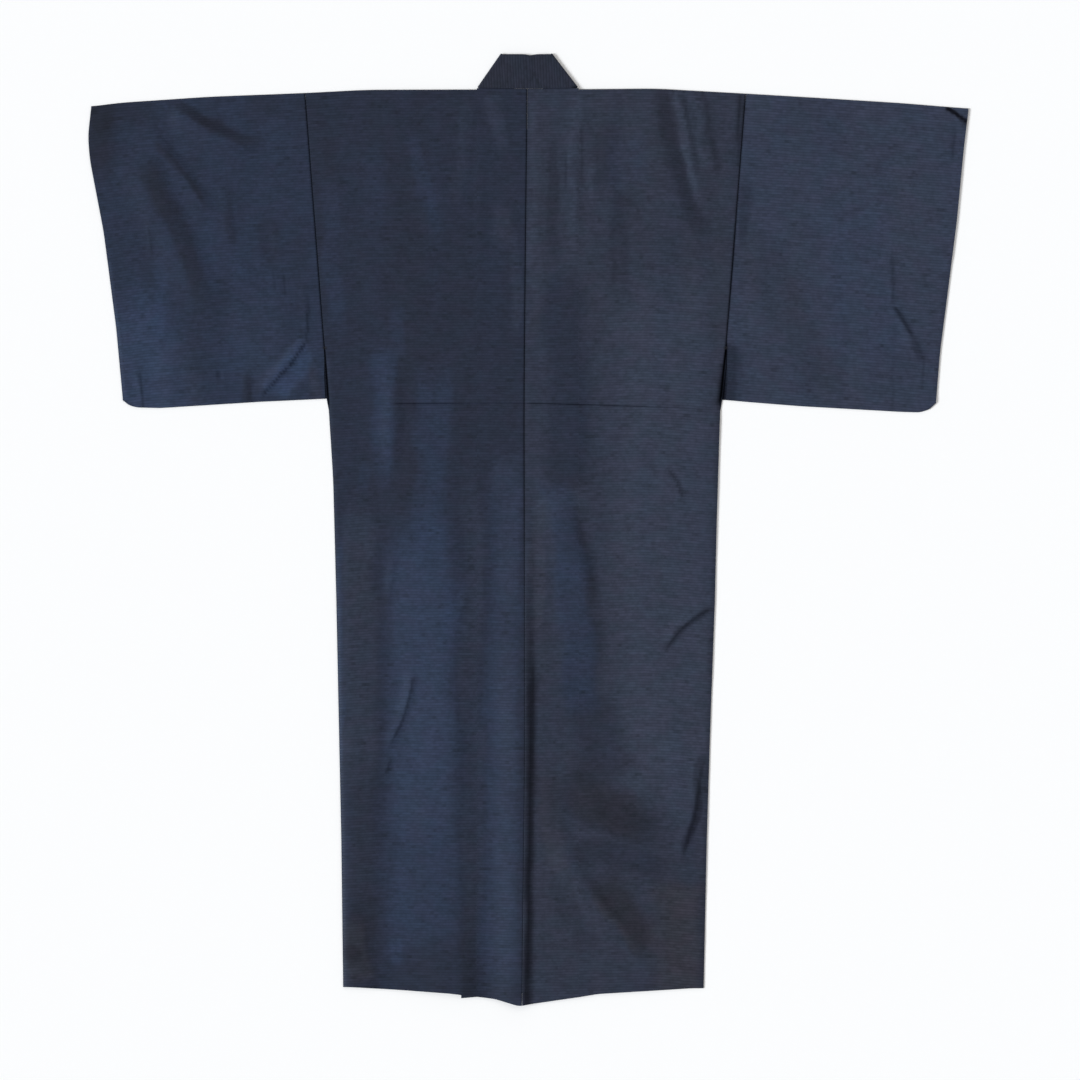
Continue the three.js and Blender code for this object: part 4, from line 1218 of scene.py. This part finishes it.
# Properties
class KimonoSizes(bpy.types.PropertyGroup):
    shell: bpy.props.FloatProperty(
        name="Cloth thickness", description="Thickness of one layer of silk", default=0.0006, unit="LENGTH")
    rib_pitch: bpy.props.FloatProperty(
        name="Rib pitch", description="Distance from one rib of the weave to the next",
        default=0.0044, unit="LENGTH")
    camera_height: bpy.props.FloatProperty(
        name="Camera height", description="Height of the camera over the surface",
        default=8.0, unit="LENGTH")
    view_width: bpy.props.FloatProperty(
        name="View width", description="Width of the surface that the camera sees",
        default=1.728, unit="LENGTH")


class KimonoColours(bpy.types.PropertyGroup):
    # Each warp shows where its shares put it, and those shares partly paint sheen and shade
    blue_warp: bpy.props.FloatVectorProperty(
        name="Blue warp", description="Warp of the silk where it shines blue", subtype="COLOR",
        default=(0.0268, 0.0415, 0.0865))
    pale_warp: bpy.props.FloatVectorProperty(
        name="Pale warp", description="Warp of the silk where it shines pale", subtype="COLOR",
        default=(0.0388, 0.0463, 0.0755))
    brown_warp: bpy.props.FloatVectorProperty(
        name="Brown warp", description="Warp of the silk where it has turned brown", subtype="COLOR",
        default=(0.037, 0.035, 0.048))
    weft: bpy.props.FloatVectorProperty(
        name="Weft", description="Dark thread of the silk", subtype="COLOR",
        default=(0.0124, 0.0128, 0.0243))
    floor: bpy.props.FloatVectorProperty(
        name="Floor", description="Colour of the surface", subtype="COLOR", default=(0.93, 0.915, 0.9))


# Operators
class KIMONO_OT_body(bpy.types.Operator):
    """Make both body lengths, back, shoulder fold and front"""
    bl_idname = "kimono.make_body"
    bl_label = "Body"

    def execute(self, context):
        shell = context.scene.kimono_sizes.shell / MM
        for side, node in ((-1, "body_left"), (1, "body_right")):
            outer, inner, cloth, cells = body_grid(side, shell)
            warp = warp_sheen_and_shade_shares(node, outer[:, :, 0], outer[:, :, 1])
            piece = wall_mesh(f"{node}_cloth", outer, inner, cloth, warp, cells)
            finish_cloth(piece, node, silk_material(f"silk_{node}"))
            sewn = [hem_stitches(side, node)]
        return {"FINISHED"}


class KIMONO_OT_sleeves(bpy.types.Operator):
    """Make both sleeves as flat folded tubes"""
    bl_idname = "kimono.make_sleeves"
    bl_label = "Sleeves"

    def execute(self, context):
        shell = context.scene.kimono_sizes.shell / MM
        for side, node in ((-1, "sleeve_left"), (1, "sleeve_right")):
            outer, inner, cloth = sleeve_grid(side, shell)
            warp = warp_sheen_and_shade_shares(node, outer[:, :, 0], outer[:, :, 1])
            piece = wall_mesh(f"{node}_cloth", outer, inner, cloth, warp, wrapped=True)
            finish_cloth(piece, node, silk_material(f"silk_{node}"))
            sewn = [cuff_stitches(side, node), tack_stitches(side, node)]
        return {"FINISHED"}


class KIMONO_OT_overlaps(bpy.types.Operator):
    """Make the overlap panels on both front edges"""
    bl_idname = "kimono.make_overlaps"
    bl_label = "Overlap panels"

    def execute(self, context):
        shell = context.scene.kimono_sizes.shell / MM
        for side, node in ((-1, "overlap_left"), (1, "overlap_right")):
            outer, inner, cloth = overlap_grid(side, shell)
            warp = warp_sheen_and_shade_shares(node, outer[:, :, 0], outer[:, :, 1])
            piece = wall_mesh(f"{node}_cloth", outer, inner, cloth, warp)
            finish_cloth(piece, node, silk_material(f"silk_{node}"))
        return {"FINISHED"}


class KIMONO_OT_collar(bpy.types.Operator):
    """Make the collar, folded under at both ends of the neck"""
    bl_idname = "kimono.make_collar"
    bl_label = "Collar"

    def execute(self, context):
        outer, inner, cloth = collar_grid()
        warp = warp_sheen_and_shade_shares("collar", outer[:, :, 0], outer[:, :, 1])
        piece = wall_mesh("collar_cloth", outer, inner, cloth, warp)
        finish_cloth(piece, "collar", silk_material("silk_collar", 0.84))
        sewn = [collar_stitches()]
        return {"FINISHED"}


class KIMONO_OT_stage(bpy.types.Operator):
    """Make the floor, the lights and the camera"""
    bl_idname = "kimono.make_stage"
    bl_label = "Stage"

    def execute(self, context):
        context.scene.view_settings.view_transform = "Standard"
        make_floor()
        make_lights()
        make_camera()
        return {"FINISHED"}


def make_floor():
    """A wide level plane just under the garment."""
    half, level = 6.0, -0.0004
    mesh = bpy.data.meshes.new("floor")
    corners = [(-half, -half, level), (half, -half, level), (half, half, level), (-half, half, level)]
    mesh.from_pydata(corners, [], [(0, 1, 2, 3)])
    floor = add_object("floor", mesh)
    material, _, shader = new_material("pale_floor")
    shader.inputs["Base Color"].default_value = rgba(bpy.context.scene.kimono_colours.floor)
    shader.inputs["Roughness"].default_value = 0.9
    shader.inputs["Emission Color"].default_value = (1.0, 1.0, 1.0, 1.0)
    shader.inputs["Emission Strength"].default_value = 0.09
    mesh.materials.append(material)


def add_sun(name, towards, spread, strength, colour):
    """A sun lamp that shines from one direction, softened by its spread in degrees."""
    data = bpy.data.lights.new(name, "SUN")
    data.angle = math.radians(spread)
    data.energy = strength
    data.color = colour
    light = bpy.data.objects.new(name, data)
    bpy.context.scene.collection.objects.link(light)
    light.rotation_euler = Vector(towards).to_track_quat("Z", "Y").to_euler()


def make_lights():
    add_sun("key", (-0.77, -0.12, 0.58), 24.0, 3.0, (0.9, 0.95, 1.0))
    add_sun("overhead", (0.3, 0.35, 1.0), 60.0, 0.5, (1.0, 0.97, 0.93))
    world = bpy.data.worlds.new("studio")
    world.use_nodes = True
    background = world.node_tree.nodes["Background"]
    background.inputs["Color"].default_value = (0.97, 0.98, 1.0, 1.0)
    background.inputs["Strength"].default_value = 0.3
    bpy.context.scene.world = world


def make_camera():
    """A long lens straight above the garment, at the photograph's framing."""
    sizes = bpy.context.scene.kimono_sizes
    data = bpy.data.cameras.new("camera")
    data.sensor_width = 36.0
    data.lens = data.sensor_width * sizes.camera_height / sizes.view_width
    data.clip_end = 50.0
    camera = bpy.data.objects.new("camera", data)
    bpy.context.scene.collection.objects.link(camera)
    centre = in_frame(np.array([[24.0, -720.0, 0.0]]))[0]
    camera.location = (centre[0], centre[1], sizes.camera_height)
    camera.rotation_euler = (0.0, 0.0, 0.0)
    bpy.context.scene.camera = camera


class KIMONO_PT_panel(bpy.types.Panel):
    """Lists the steps that make the kimono"""
    bl_idname = "KIMONO_PT_panel"
    bl_label = "Kimono"
    bl_space_type = "VIEW_3D"
    bl_region_type = "UI"
    bl_category = "Kimono"

    def draw(self, context):
        for group in (context.scene.kimono_sizes, context.scene.kimono_colours):
            for name in group.__annotations__:
                self.layout.prop(group, name)
        for operator in STEPS:
            self.layout.operator(operator.bl_idname)


STEPS = (KIMONO_OT_stage, KIMONO_OT_body, KIMONO_OT_sleeves, KIMONO_OT_overlaps, KIMONO_OT_collar)
CLASSES = (KimonoSizes, KimonoColours, *STEPS, KIMONO_PT_panel)


def register():
    for item in CLASSES:
        bpy.utils.register_class(item)
    bpy.types.Scene.kimono_sizes = bpy.props.PointerProperty(type=KimonoSizes)
    bpy.types.Scene.kimono_colours = bpy.props.PointerProperty(type=KimonoColours)


def unregister():
    del bpy.types.Scene.kimono_colours
    del bpy.types.Scene.kimono_sizes
    for item in reversed(CLASSES):
        bpy.utils.unregister_class(item)


def main():
    register()
    bpy.ops.kimono.make_stage()
    bpy.ops.kimono.make_body()
    bpy.ops.kimono.make_sleeves()
    bpy.ops.kimono.make_overlaps()
    bpy.ops.kimono.make_collar()


if __name__ == "__main__":
    main()
